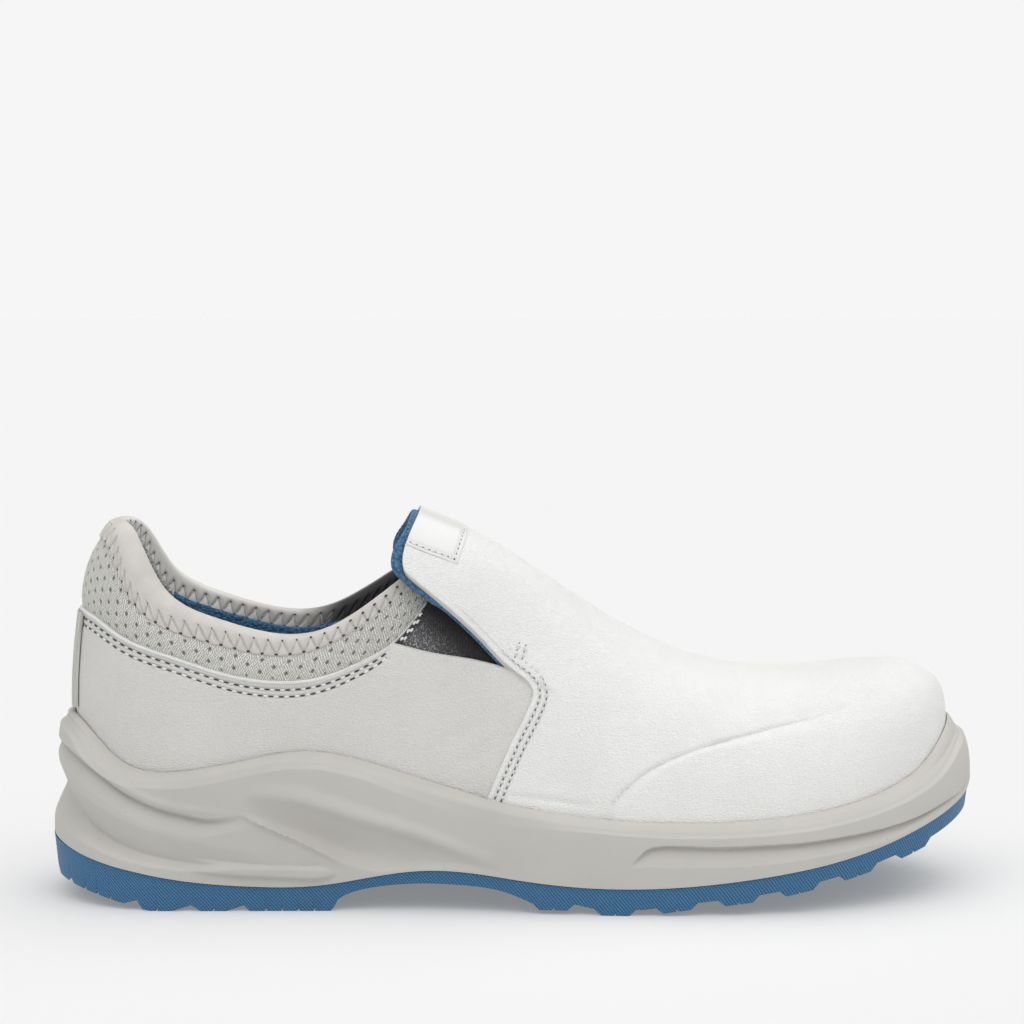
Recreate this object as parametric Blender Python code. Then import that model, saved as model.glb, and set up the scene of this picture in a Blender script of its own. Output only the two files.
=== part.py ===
"""Slip-on safety shoe for the right foot.

The shoe is drawn in millimetres: x runs from the heel to the toe, y from the outer (lateral) side to the
inner (medial) side and z up from the floor. Every piece is a patch of one family of surfaces, the last,
taken at its own offset, and is then placed in metres with the origin at the middle of the footprint.
"""

import math

import bmesh
import bpy
import numpy as np

# Driving sizes, in millimetres
LENGTH = 300.0
BALL_WIDTH = 102.0
INSTEP_HEIGHT = 122.5
COLLAR_HEIGHT = 120.5
TOE_TIP_HEIGHT = 48.0
LEATHER = 2.0
VAMP_INNER = 1.0
VAMP_OUTER = 3.2
GAP = 0.3
LIP, LIP_DROP, TOE_LIP_DROP = 2.6, 0.9, 2.4
PAD_INNER = -4.2
PAD_OUTER = 1.9
PAD_SLIM, SLIM_REACH = -0.6, 0.08
LINING, LINING_GAP = 2.2, 0.48
FLAP_FLARE, FLARE_POWER = 6.0, 0.5
GORE = 1.5
STRIP = 1.1
LABEL = 0.6
INSOLE = 4.0
LUG_DEPTH = 3.0
MM = 0.001
WELD = 1e-6
SHARP = math.radians(40)

# Shape of the heel and toe in plan, and of the toe's crown, as shares of the length and powers
OUTER_SIDE, INNER_SIDE = -1.0, 1.0
HEEL_CAP, HEEL_POWER = 0.135, 2.25
TOE_CAP, TOE_POWER = 0.27, 2.35
CROWN_START, CROWN_POWER = 0.90, 3.0
LEAN_FROM = 40.0
HEEL_CURVE_REACH = 0.16
TALLEST = 190.0
ROUND_POWER = 1.8
HEEL_STATIONS_END, TOE_STATIONS_START = 0.16, 0.72


def spline(xs, ys):
    """A natural cubic spline through a few points, straight past its ends."""
    xs, ys = np.asarray(xs, float), np.asarray(ys, float)
    step, rise = np.diff(xs), np.diff(ys)
    count = len(xs)
    matrix, right = np.eye(count), np.zeros(count)
    for k in range(1, count - 1):
        matrix[k, k - 1 : k + 2] = step[k - 1], 2 * (step[k - 1] + step[k]), step[k]
        right[k] = 6 * (rise[k] / step[k] - rise[k - 1] / step[k - 1])
    bend = np.linalg.solve(matrix, right)
    first = rise[0] / step[0] - bend[1] * step[0] / 6
    last = rise[-1] / step[-1] + bend[-2] * step[-1] / 6

    def curve(x):
        x = np.asarray(x, float)
        inside = np.clip(x, xs[0], xs[-1])
        k = np.clip(np.searchsorted(xs, inside) - 1, 0, count - 2)
        h, a, b = step[k], xs[k + 1] - inside, inside - xs[k]
        value = (bend[k] * a**3 + bend[k + 1] * b**3) / (6 * h)
        value += (ys[k] / h - bend[k] * h / 6) * a + (ys[k + 1] / h - bend[k + 1] * h / 6) * b
        return value + np.minimum(x - xs[0], 0) * first + np.maximum(x - xs[-1], 0) * last

    return curve


def table(names, *rows):
    """The columns of a short table as smooth curves over its first column."""
    values = np.array(rows, float)
    return {name: spline(values[:, 0], values[:, k]) for k, name in enumerate(names.split())}


def line(*points):
    """A smooth line of the side view: height over x."""
    return table("x z", *points)["z"]


def ease(x, start, end):
    """0 before start, 1 after end and a smooth step between them."""
    t = np.clip((np.asarray(x, float) - start) / (end - start), 0, 1)
    return t * t * (3 - 2 * t)


# Sections of the last: half widths are shares of the ball width, inset and seat are millimetres
SECTIONS = table(
    "along  centre  outer  inner  inset  seat  square  pinch  lean",
    (0.00, 0.0, 0.345, 0.345, -9.3, 26.0, 0.74, 0.00, 0.00),
    (0.15, 0.0, 0.368, 0.358, -8.2, 25.5, 0.76, 0.00, 0.03),
    (0.30, 0.0, 0.380, 0.335, -8.0, 24.0, 0.76, 0.03, 0.36),
    (0.40, 0.0, 0.402, 0.325, -8.4, 21.8, 0.78, 0.06, 0.43),
    (0.50, 0.2, 0.441, 0.350, -8.8, 18.6, 0.82, 0.08, 0.43),
    (0.60, 0.8, 0.480, 0.414, -9.2, 15.9, 0.86, 0.07, 0.30),
    (0.70, 1.8, 0.508, 0.464, -9.3, 15.4, 0.86, 0.04, 0.12),
    (0.80, 3.2, 0.512, 0.470, -9.6, 18.6, 0.84, 0.02, 0.01),
    (0.90, 4.6, 0.492, 0.448, -10.4, 25.0, 0.82, 0.00, 0.00),
    (1.00, 6.0, 0.470, 0.430, -11.7, 35.5, 0.82, 0.00, 0.00),
)

# How far the back of the heel leans in at each height
HEEL_CURVE = table(
    "z  shift",
    (10, 4.0), (35, 1.8), (60, 0.7), (80, 1.7), (92, 3.2), (101, 4.8), (111, 7.8), (121, 12.6), (130, 18.0),
)["shift"]

# Lines of the side view. The ridge is the top of instep and toe, carried on as a leg behind the flap
RIDGE = line(
    (-20, 171), (40, 158), (80, 143), (105, 131), (121, INSTEP_HEIGHT), (136, 116.2), (162, 100.2),
    (178, 89.7), (194, 80.9), (207, 75.4), (221, 71.9), (238, 70.5), (254, 71.6), (270, 73.0), (300, 73.0),
)
JOINT = line(
    (0, 20.0), (7, 17.9), (14, 16.0), (22, 14.0), (30, 12.4), (40, 10.5), (67, 7.9), (88, 8.3),
    (104, 11.0), (119, 13.1), (134, 12.8), (150, 10.7), (170, 8.8), (190, 8.7), (210, 10.2), (230, 12.8),
    (255, 17.4), (280, 25.0), (292, 29.9), (296.5, 32.6), (298.8, 35.4), (300, 38.0),
)
LIP_LINE = line(
    (5.7, 59.5), (12, 57.0), (18.5, 51.4), (25, 46.2), (33, 43.4), (45, 43.4), (66, 47.3), (83, 49.7),
    (98, 47.6), (115, 42.6), (142, 34.8), (165, 30.6), (192, 28.6), (223, 29.1), (255, 33.1), (272, 38.2),
    (280, 42.6), (286, 48.0), (291, 53.0),
)
PIPING = line(
    (7, 91.8), (14, 91.0), (25, 85.2), (41, 79.3), (58, 73.7), (74, 71.1), (88, 72.2), (102, 77.7),
    (111, 83.6), (117, 90.4), (124, 100.0),
)
GORE_EDGE = line((60, 92.5), (114, 82.0), (122, 80.0), (135, 77.8), (149.5, 74.0), (190, 63.0))
BINDING_LOW = line(
    (16, 114.5), (21, 112.0), (26, 101.5), (33, 92.2), (47, 85.4), (60, 81.8), (74, 79.4), (86, 81.0),
    (98, 86.8), (109, 94.8), (124, 106.5),
)
BINDING_TOP = line(
    (18, COLLAR_HEIGHT), (23, 119.4), (28, 113.2), (33, 104.0), (40, 96.6), (51, 91.6), (66, 87.2),
    (76, 85.8), (88, 87.6), (102, 95.4), (113, 103.4), (124, 111.0),
)
TOE_LEDGE = line(
    (176, 22.0), (178.2, 31.0), (180.4, 35.2), (184.5, 39.3), (188.7, 42.7), (193.9, 45.7), (202.4, 49.1),
    (212, 51.9), (221.6, 54.2), (231.4, 56.3), (245.6, 58.8), (257, 61.8), (300, 74.0),
)
TOE_LEDGE_STEP, TOE_LEDGE_WIDTH, TOE_LEDGE_RISE = 0.9, 5.0, (174.5, 178.5)

# Rear edge of the vamp: up the seam, round the throat's corner, back along the flap and over its end
SEAM_FOOT, THROAT, FLAP_TIP = (127.5, 8.0), (152.7, 71.4), (118.0, 118.0)
VAMP_EDGE = (
    SEAM_FOOT, (134.0, 22.0), (139.6, 34.3), (146.6, 50.2), (150.8, 58.4), (154.1, 65.2), (154.6, 68.2),
    THROAT, (146.5, 76.3), (139.2, 84.0), (128.5, 94.2), (117.4, 103.2), (113.9, 107.4), (114.4, 113.0),
    (117.2, 119.5), (119.8, 124.5),
)
VAMP_FLAP_END, VAMP_TOE_START = 0.24, 0.70
QUARTER_FRONT = (158.0, 40.0)
COLLAR_FRONT = (122.0, 99.0)
INNER_RISE, INNER_RISE_SPAN = 1.8, (0.07, 0.13, 0.26, 0.32)
GORE_SPAN, GORE_MARGIN = ((109.0, 80.0), (152.0, 60.0)), 5.0
GORE_TOP_TURN, LINING_LOW_TURN = 0.56, 0.50
LINING_REACH, LINING_SIDE_END, LINING_END = 0.007, 0.378, 0.50
LABEL_START, LABEL_END, LABEL_TURN = 0.003, (132.9, 111.9), 0.67
STRIP_HALF, STRIP_TOP, STRIP_FOOT = 0.008, 91.0, 60.5

# Moulded relief of the sole's flank: a trough's middle line, depth and reach. A rib has a negative depth
FLANK_COLUMNS = "x  z  depth  above  below"
FLANK = {
    (-1, 82): table(
        FLANK_COLUMNS,
        (0, 33.0, 4.2, 9.0, 13.0), (12, 31.0, 3.9, 10.0, 11.0), (28, 24.5, 3.0, 8.5, 8.0),
        (45, 20.0, 1.9, 7.0, 6.0), (65, 17.5, 0.7, 5.0, 4.0), (82, 16.5, 0.0, 4.0, 4.0),
    ),
    (-1, 76): table(
        FLANK_COLUMNS,
        (0, 49.0, 1.4, 3.4, 3.0), (10, 44.6, 1.6, 3.4, 3.0), (26, 34.8, 1.7, 3.2, 3.0),
        (43, 28.9, 1.7, 3.0, 3.0), (56, 27.0, 1.5, 3.0, 3.0), (67, 28.9, 0.7, 3.0, 3.0),
        (76, 32.0, 0.0, 3.0, 3.0),
    ),
    (64, 148): table(
        FLANK_COLUMNS,
        (64, 32.0, 0.0, 5.0, 4.0), (74, 30.5, 1.4, 6.0, 4.5), (84, 28.0, 2.6, 7.5, 5.5),
        (95, 24.5, 3.0, 8.5, 6.5), (112, 19.8, 2.2, 8.0, 6.0), (127, 16.6, 1.0, 6.0, 4.0),
        (148, 13.0, 0.0, 5.0, 3.0),
    ),
    (46, 93): table(
        FLANK_COLUMNS,
        (46, 15.0, 0.0, 2.6, 2.6), (62, 13.4, -0.8, 2.6, 2.6), (84, 12.4, -0.9, 2.6, 2.6),
        (93, 12.2, 0.0, 2.6, 2.6),
    ),
    (184, 301): table(
        FLANK_COLUMNS,
        (184, 16.0, 0.0, 2.0, 2.6), (193, 18.2, 1.9, 2.1, 4.0), (210, 18.3, 2.2, 2.1, 4.4),
        (225, 18.8, 2.2, 2.1, 4.2), (240, 19.9, 2.0, 2.0, 3.6), (258, 22.4, 1.8, 1.9, 3.0),
        (275, 26.0, 1.5, 1.7, 2.4), (292, 31.6, 0.6, 1.5, 2.0), (300, 35.0, 0.0, 1.5, 2.0),
    ),
}
MAIN_GROOVE = line(
    (0, 49.0), (10, 44.6), (26, 34.8), (43, 28.9), (56, 27.0), (68, 28.5), (84, 28.0), (95, 24.5),
    (112, 19.8), (130, 17.0), (150, 15.8), (175, 16.6), (193, 18.2), (210, 18.3), (225, 18.8), (240, 19.9),
    (258, 22.4), (275, 26.4), (288, 31.8), (296, 37.4), (300, 42.0),
)
CUP_STEP_START, CUP_STEP_END = 0.06, 0.02
TOE_LIP_SPAN = (0.93, 0.995)
FLANK_LOW_ROWS = (0.0, 0.24, 0.48, 0.7, 0.89)
FLANK_HIGH_ROWS = (0.0, 0.13, 0.36, 0.62, 0.84, 1.0)
FLANK_INWARD = table(
    "share  inward", (0, 0), (0.3, 0.03), (0.6, 0.13), (0.78, 0.25), (0.88, 0.42), (1.0, 1.0)
)["inward"]

# Tread: the ground line, the thin arch and the lugs, in millimetres along the shoe
HEEL_BEVEL, HEEL_BEVEL_END = 7.8, 33.5
FORE_LIFT, FORE_LIFT_SPAN = 1.4, (166.0, 175.0)
TOE_SPRING_START = 188.0
TOE_SPRING = line(
    (176, 0), (TOE_SPRING_START, 0), (199, 1.5), (218.4, 3.7), (237.7, 6.7), (257, 10.8), (276.3, 16.0),
    (285, 18.8), (292, 21.5), (300, 24.9),
)
ARCH = line((92, 3.0), (98, 6.0), (106, 7.9), (119, 9.0), (132, 8.7), (146, 6.6), (153, 3.8))
ARCH_START, ARCH_END = 94.5, 154.0
HEEL_LUGS = ((3.0, 11.0), (15.0, 33.5), (37.0, 50.5), (54.0, 66.5), (70.0, 92.0))
FORE_LUG_FIRST, FORE_LUG_PITCH, FORE_LUG_LENGTH, FORE_LUG_COUNT = 160.5, 19.3, 9.6, 7
LUG_SLOPE = 2.2
TREAD_INSET, LUG_TAPER = -0.6, -0.9
TREAD_PROFILE = (
    (-0.54, False), (-0.52, True), (-0.42, True), (-0.40, False),
    (0.40, False), (0.42, True), (0.52, True), (0.54, False),
)
TREAD_STEP = 6.0
PLAIN_TREAD = (
    0, 0.3, 99, 104, 109, 114, 119, 124, 129, 134, 139, 144, 149,
    287, 290, 293, 295, 296.5, 297.7, 298.6, 299.3, 299.7, 300,
)


# The last


def closure(s):
    """Share of the full width that the rounded heel and toe leave at a station."""
    heel = np.clip((HEEL_CAP - s) / HEEL_CAP, 0, 1)
    toe = np.clip((s - 1 + TOE_CAP) / TOE_CAP, 0, 1)
    return (1 - heel**HEEL_POWER) ** (1 / HEEL_POWER) * (1 - toe**TOE_POWER) ** (1 / TOE_POWER)


def half_width(s, side):
    """Half the width of the sole at a station, on one side."""
    return BALL_WIDTH * np.where(np.asarray(side) < 0, SECTIONS["outer"](s), SECTIONS["inner"](s))


def plan(s, side, offset):
    """A point of the sole's outline, moved out by an offset."""
    x = s * LENGTH + (2 * s - 1) * offset
    return x, SECTIONS["centre"](s) + side * (half_width(s, side) + offset) * closure(s)


def station_x(s, z, offset):
    """Where a station's section, which leans with the instep, stands at a height."""
    reach = offset + SECTIONS["inset"](s)
    lean = SECTIONS["lean"](s) * (z - LEAN_FROM)
    back = HEEL_CURVE(z) * (1 - ease(s, 0, HEEL_CURVE_REACH))
    return s * LENGTH + (2 * s - 1) * reach + lean + back


def solve(rising, low, high, steps=44):
    """Where a rising function of arrays crosses zero."""
    for _ in range(steps):
        middle = (low + high) / 2
        over = rising(middle) > 0
        low, high = np.where(over, low, middle), np.where(over, middle, high)
    return (low + high) / 2


def height_on(s, side_line, offset):
    """Height at which a station meets a line of the side view."""
    s = np.asarray(s, float)
    return solve(lambda z: z - side_line(station_x(s, z, offset)), 0 * s, 0 * s + TALLEST)


def station_at(x, z, offset):
    """The station that passes through a point of the side view."""
    x = np.asarray(x, float)
    return solve(lambda s: station_x(s, z, offset) - x, 0 * x, 0 * x + 1)


def ridge(s):
    """Height of the last's top at a station, rounded off over the toe."""
    top = height_on(s, RIDGE, VAMP_OUTER) - VAMP_OUTER
    drop = np.clip((s - CROWN_START) / (1 - CROWN_START), 0, 1)
    return TOE_TIP_HEIGHT + (top - TOE_TIP_HEIGHT) * (1 - drop**CROWN_POWER) ** (1 / CROWN_POWER)


def turn_at(s, z, offset):
    """How far round its section, from 0 at the base to 1 on the ridge, a station reaches a height."""
    base = SECTIONS["seat"](s)
    share = np.clip((z - base) / (ridge(s) + offset - base), 0, 1)
    return np.arcsin(share ** (1 / SECTIONS["square"](s))) * 2 / math.pi


def wall(s, side, turn, offset, flare=0.0):
    """A point of the last's surface, moved out by an offset and, where it stands free, by a flare."""
    s, side, turn = np.broadcast_arrays(*(np.asarray(v, float) for v in (s, side, turn)))
    base, square = SECTIONS["seat"](s), SECTIONS["square"](s)
    rise = np.clip(np.sin(turn * math.pi / 2), 0, 1) ** square
    run = np.clip(np.cos(turn * math.pi / 2), 0, 1) ** square * (1 - SECTIONS["pinch"](s) * rise)
    z = base + (ridge(s) + offset - base) * rise
    half = (half_width(s, side) + SECTIONS["inset"](s) + offset) * closure(s)
    y = SECTIONS["centre"](s) + side * (half * run + flare)
    return np.stack([station_x(s, z, offset), y, z], axis=-1)


def wall_at(s, side, z, offset):
    """The same surface, by height."""
    return wall(s, side, turn_at(s, z, offset), offset)


# Panels


def spread(count, start=0.0, end=1.0):
    """Evenly spaced values."""
    return np.linspace(start, end, count)


def vamp_start():
    """Station at which the vamp starts, for each turn round the section."""
    points = np.array(VAMP_EDGE)
    along, fine = np.arange(len(points)), spread(160, 0, len(points) - 1)
    x, z = spline(along, points[:, 0])(fine), spline(along, points[:, 1])(fine)
    s = station_at(x, z, VAMP_OUTER)
    turn = np.maximum.accumulate(turn_at(s, z, VAMP_OUTER) + 1e-9 * fine)
    return lambda t: np.interp(t, turn, s)


def flap_flare(s, turn):
    """How far the flap's free sides stand off the foot."""
    throat, tip = station_at(*THROAT, VAMP_OUTER), station_at(*FLAP_TIP, VAMP_OUTER)
    return FLAP_FLARE * ease(throat - s, 0, throat - tip) * np.cos(turn * math.pi / 2) ** FLARE_POWER


def toe_ledge(points):
    """Extra thickness of the leather over the toe cap."""
    x, z = points[..., 0], points[..., 2]
    below = ease(TOE_LEDGE(x) - z, -TOE_LEDGE_WIDTH / 2, TOE_LEDGE_WIDTH / 2)
    return TOE_LEDGE_STEP * below * ease(x, *TOE_LEDGE_RISE)


def over_the_ridge(turns):
    """Sides and turns from the outer side's first turn over the ridge to the inner side."""
    sides = np.concatenate([np.full(len(turns), OUTER_SIDE), np.full(len(turns) - 1, INNER_SIDE)])
    return sides[:, None], np.concatenate([turns, turns[-2::-1]])[:, None]


def vamp_panel(columns, turns, offset):
    """The vamp with its flap, as rows round the section and columns from its rear edge to the toe."""
    side, turn = over_the_ridge(turns)
    start = vamp_start()(turn)
    s = start + (1 - start) * columns
    flare = flap_flare(s, turn)
    return wall(s, side, turn + 0 * s, offset + toe_ledge(wall(s, side, turn + 0 * s, offset)), flare)


def heel_end(reach, count):
    """Stations from the back of the heel, closest together where the outline turns round it."""
    return reach * spread(count) ** ROUND_POWER


def toe_end(reach, count):
    """The same at the toe."""
    return 1 - heel_end(reach, count)[::-1]


def sole_stations(heel, middle, toe):
    """Stations along the whole sole."""
    back, front = HEEL_STATIONS_END, TOE_STATIONS_START
    parts = heel_end(back, heel)[:-1], spread(middle, back, front)[:-1], toe_end(1 - front, toe)
    return np.concatenate(parts)


def horseshoe(front, count):
    """Stations and sides of columns from the outer front edge round the heel to the inner front edge."""
    s = heel_end(front, count + 1)
    sides = np.concatenate([np.full(count + 1, OUTER_SIDE), np.full(count, INNER_SIDE)])
    return np.concatenate([s[::-1], s[1:]]), sides


def quarter_top(x):
    """Top edge of the quarters: under the cuff, then along the gore."""
    return np.minimum(PIPING(x), GORE_EDGE(x))


def quarter_panel(count, rows, offset):
    """The quarters, as rows from the sole to their top edge and columns round the heel."""
    s, side = horseshoe(station_at(*QUARTER_FRONT, LEATHER), count)
    top = turn_at(s, height_on(s, quarter_top, LEATHER), LEATHER)
    return wall(s, side, spread(rows)[:, None] * top, offset)


def rim_height(s, side, side_line):
    """Height of a line of the collar, which stands a little higher on the inner side."""
    start, full, fall, end = INNER_RISE_SPAN
    rise = INNER_RISE * ease(s, start, full) * (1 - ease(s, fall, end)) * (side > 0)
    return height_on(s, side_line, LEATHER) + (0 if side_line is PIPING else rise)


def cuff_ring(count, low, high, profile):
    """Closed sections of the cuff round the heel, from one side-view line to another."""
    front = station_at(*COLLAR_FRONT, LEATHER)
    s, side = horseshoe(front, count)
    bottom = rim_height(s, side, low) + GAP / 2
    top = rim_height(s, side, high) - GAP / 2
    slim = ease(s, front - SLIM_REACH, front)
    ring = []
    for share, offset in profile:
        outward = offset - slim * np.maximum(offset - PAD_SLIM, 0)
        ring.append(wall_at(s, side, bottom + (top - bottom) * share, outward))
    return np.stack(ring, axis=1)


# Meshes


def mesh_object(name, points, faces, colour, roughness):
    """An object made of points in millimetres, welded where they meet, with its own material."""
    work = bmesh.new()
    verts = [work.verts.new(point) for point in placed(points)]
    for face in faces:
        work.faces.new([verts[k] for k in face])
    bmesh.ops.remove_doubles(work, verts=work.verts, dist=WELD)
    bmesh.ops.dissolve_degenerate(work, dist=WELD, edges=work.edges)
    bmesh.ops.recalc_face_normals(work, faces=work.faces)
    mesh = bpy.data.meshes.new(name)
    work.to_mesh(mesh)
    work.free()
    mesh.shade_smooth()
    mesh.set_sharp_from_angle(angle=SHARP)
    mesh.materials.append(material(name, colour, roughness))
    item = bpy.data.objects.new(name, mesh)
    bpy.context.collection.objects.link(item)
    return item


def placed(points):
    """Points in metres, with the origin at the middle of the footprint."""
    s = spread(400)
    low, high = plan(s, OUTER_SIDE, 0.0)[1].min(), plan(s, INNER_SIDE, 0.0)[1].max()
    return (points - np.array([LENGTH / 2, (low + high) / 2, 0.0])) * MM


def material(name, colour, roughness):
    """A plain finish."""
    finish = bpy.data.materials.new(name)
    finish.use_nodes = True
    shader = finish.node_tree.nodes["Principled BSDF"]
    shader.inputs["Base Color"].default_value = (*colour, 1.0)
    shader.inputs["Roughness"].default_value = roughness
    return finish


def grid_faces(rows, columns, first=0, flip=False):
    """Quads of a grid of points stored row by row."""
    faces = []
    for r in range(rows - 1):
        for c in range(columns - 1):
            a = first + r * columns + c
            quad = (a, a + 1, a + columns + 1, a + columns)
            faces.append(quad[::-1] if flip else quad)
    return faces


def shell(name, outer, inner, colour, roughness, closed_end=False):
    """A wall between two grids of points. With closed_end the last column is one line, with no edge."""
    rows, columns = outer.shape[:2]
    count = rows * columns
    faces = grid_faces(rows, columns) + grid_faces(rows, columns, count, flip=True)
    top = [(rows - 1) * columns + c for c in range(columns)]
    bottom = list(range(columns))
    start = [r * columns for r in range(rows)]
    end = [r * columns + columns - 1 for r in range(rows)]
    edges = [bottom[::-1], top, start] if closed_end else [bottom[::-1], top, start, end[::-1]]
    for edge in edges:
        faces += [(a, b, b + count, a + count) for a, b in zip(edge, edge[1:])]
    points = np.concatenate([outer.reshape(-1, 3), inner.reshape(-1, 3)])
    return mesh_object(name, points, faces, colour, roughness)


def loft(name, rings, colour, roughness, capped=False):
    """A solid through closed rings of points, whose end rings are points, lines or capped faces."""
    count, size = rings.shape[:2]
    faces = []
    for r in range(count - 1):
        for k in range(size):
            a, b = r * size + k, r * size + (k + 1) % size
            faces.append((a, b, b + size, a + size))
    if capped:
        faces.append(tuple(range(size))[::-1])
        faces.append(tuple(range((count - 1) * size, count * size)))
    return mesh_object(name, rings.reshape(-1, 3), faces, colour, roughness)


def across(start, end, shares=(0.33, 0.67)):
    """Points between two edges."""
    return [start + (end - start) * share for share in shares]


# Pieces

WHITE = (0.84, 0.84, 0.82)
GREY = (0.55, 0.54, 0.51)
PALE = (0.52, 0.51, 0.48)
BLUE = (0.05, 0.21, 0.42)
DARK = (0.05, 0.05, 0.06)


def make_upper():
    """Quarters and vamp with flap, joined into one wall, open underneath, at the collar and at the throat."""
    turns = np.concatenate([spread(6, 0, LINING_LOW_TURN)[:-1], flap_turns()])
    flap, toe = VAMP_FLAP_END, VAMP_TOE_START
    columns = np.concatenate([spread(9, 0, flap)[:-1], spread(10, flap, toe)[:-1], toe_end(1 - toe, 9)])
    vamp = shell(
        "vamp_form", vamp_panel(columns, turns, VAMP_OUTER), vamp_panel(columns, turns, VAMP_INNER),
        WHITE, 0.5, closed_end=True,
    )
    vamp.hide_render = True
    vamp.display_type = "WIRE"
    upper = shell("upper", quarter_panel(21, 7, LEATHER), quarter_panel(21, 7, 0.0), WHITE, 0.5)
    join = upper.modifiers.new("vamp over quarters", "BOOLEAN")
    join.operation = "UNION"
    join.object = vamp


# Cross-sections of the cuff and its band, as shares of their height and offsets from the last
CUFF_PROFILE = (
    (0.0, PAD_OUTER - 0.4), (0.3, PAD_OUTER + 0.9), (0.65, PAD_OUTER + 1.2), (1.0, PAD_OUTER + 0.4),
    (1.0, PAD_INNER), (0.5, PAD_INNER - 0.6), (0.0, PAD_INNER + 1.2),
)
BAND_PROFILE = (
    (0.0, PAD_OUTER + 0.2), (0.5, PAD_OUTER + 0.3), (0.85, PAD_OUTER - 0.9), (1.0, PAD_OUTER - 2.8),
    (0.85, PAD_INNER + 0.8), (0.5, PAD_INNER), (0.0, PAD_INNER),
)


def make_collar():
    """Padded cuff on the quarters and the band over its rim."""
    loft("collar", cuff_ring(24, PIPING, BINDING_LOW, CUFF_PROFILE), PALE, 0.8, capped=True)
    loft("collar_binding", cuff_ring(24, BINDING_LOW, BINDING_TOP, BAND_PROFILE), PALE, 0.6, capped=True)


def make_gores():
    """Elastic wedges behind the throat notches."""
    start, end = (station_at(*point, LEATHER) for point in GORE_SPAN)
    s = spread(9, start, end)
    low = turn_at(s, height_on(s, quarter_top, LEATHER) - GORE_MARGIN, LEATHER)
    high = np.minimum(turn_at(s, height_on(s, PIPING, LEATHER) - GAP, LEATHER), GORE_TOP_TURN)
    turn = low + spread(5)[:, None] * (high - low)
    for name, side in (("gore_lateral", OUTER_SIDE), ("gore_medial", INNER_SIDE)):
        shell(name, wall(s, side, turn, -GAP), wall(s, side, turn, -GAP - GORE), DARK, 0.9)


def flap_turns():
    """Rows of the flap and of what lies under it."""
    return spread(10, LINING_LOW_TURN, 1.0)


def flap_patch(name, start, end, grid, offsets, colour, roughness):
    """A patch between two offsets that rides on the flap, from a start to an end station on each turn."""
    turns, columns = grid
    side, turn = over_the_ridge(turns)
    s = start(turn) + (end(turn) - start(turn)) * spread(columns)
    high, low = (wall(s, side, turn + 0 * s, offset, flap_flare(s, turn)) for offset in offsets)
    shell(name, high, low, colour, roughness)


def make_flap_lining():
    """Padded lining under the flap, shorter at its sides than along the ridge."""
    edge, top = vamp_start(), VAMP_INNER - LINING_GAP
    slope = (LINING_END - LINING_SIDE_END) / (1.0 - LINING_LOW_TURN)

    def start(turn):
        return edge(turn) - LINING_REACH

    def end(turn):
        return LINING_SIDE_END + slope * (turn - LINING_LOW_TURN)

    flap_patch("flap_lining", start, end, (flap_turns(), 7), (top, top - LINING), BLUE, 0.9)


def make_flap_label():
    """Blank patch on the flap."""
    edge, last = vamp_start(), station_at(*LABEL_END, VAMP_OUTER)
    low = VAMP_OUTER + GAP
    grid = (spread(6, LABEL_TURN, 1.0), 5)

    def start(turn):
        return edge(turn) + LABEL_START

    def end(turn):
        return last + 0 * turn

    flap_patch("flap_label", start, end, grid, (low + LABEL, low), WHITE, 0.5)


def make_heel_strip():
    """Textured strip up the back of the heel."""
    s, side = horseshoe(STRIP_HALF, 4)
    z = spread(5, STRIP_FOOT, STRIP_TOP)[:, None] + 0 * s
    outer, inner = (wall_at(s, side, z, LEATHER + GAP + thick) for thick in (STRIP, 0.0))
    shell("heel_strip", outer, inner, GREY, 0.7)


def leather_outside(s):
    """Outer offset of the leather at the sole, thicker where the vamp lies over the quarter."""
    seam = station_at(*SEAM_FOOT, LEATHER)
    before = ease(s, seam - CUP_STEP_START, seam - CUP_STEP_END)
    return LEATHER + (VAMP_OUTER + TOE_LEDGE_STEP - LEATHER) * before


def flank_relief(x, z):
    """Depth of the sole's moulded troughs and ribs at a point of its flank."""
    depth = 0
    for (start, end), trough in FLANK.items():
        away = z - trough["z"](x)
        reach = np.where(away > 0, trough["above"](x), trough["below"](x))
        inside = (x > start) & (x < end)
        depth = depth + inside * trough["depth"](x) * (1 - ease(np.abs(away) / reach, 0.0, 1.0))
    return depth


def lip_drop(s):
    """How far the lip's outer edge lies below its inner one, most at the toe."""
    return LIP_DROP + TOE_LIP_DROP * ease(s, *TOE_LIP_SPAN)


def flank_rows(s, side, cup):
    """Heights of the midsole's rows at each station, one along the main groove, and the lip's height."""
    lip = height_on(s, LIP_LINE, cup)
    x = plan(s, side, 0.0)[0]
    joint, groove = JOINT(x) + GAP / 2, MAIN_GROOVE(x)
    rows = [joint + (groove - joint) * share for share in FLANK_LOW_ROWS]
    rows += [groove + (lip - lip_drop(s) - groove) * share for share in FLANK_HIGH_ROWS]
    return rows, lip


def flank(s, side, cup, z, lip):
    """A point of the midsole's outer wall, which leaves the outline at the joint and reaches the lip."""
    x = plan(s, side, 0.0)[0]
    joint = JOINT(x) + GAP / 2
    share = (z - joint) / (lip - lip_drop(s) - joint)
    sunk = -flank_relief(x, z) * ease(share, 0.0, 0.1)
    low_x, low_y = plan(s, side, sunk)
    high = wall_at(s, side, lip, cup + LIP + sunk)
    inward = FLANK_INWARD(share)
    out_x = low_x + (high[..., 0] - low_x) * inward
    out_y = low_y + (high[..., 1] - low_y) * inward
    return np.stack([out_x, out_y, z], axis=-1)


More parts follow.
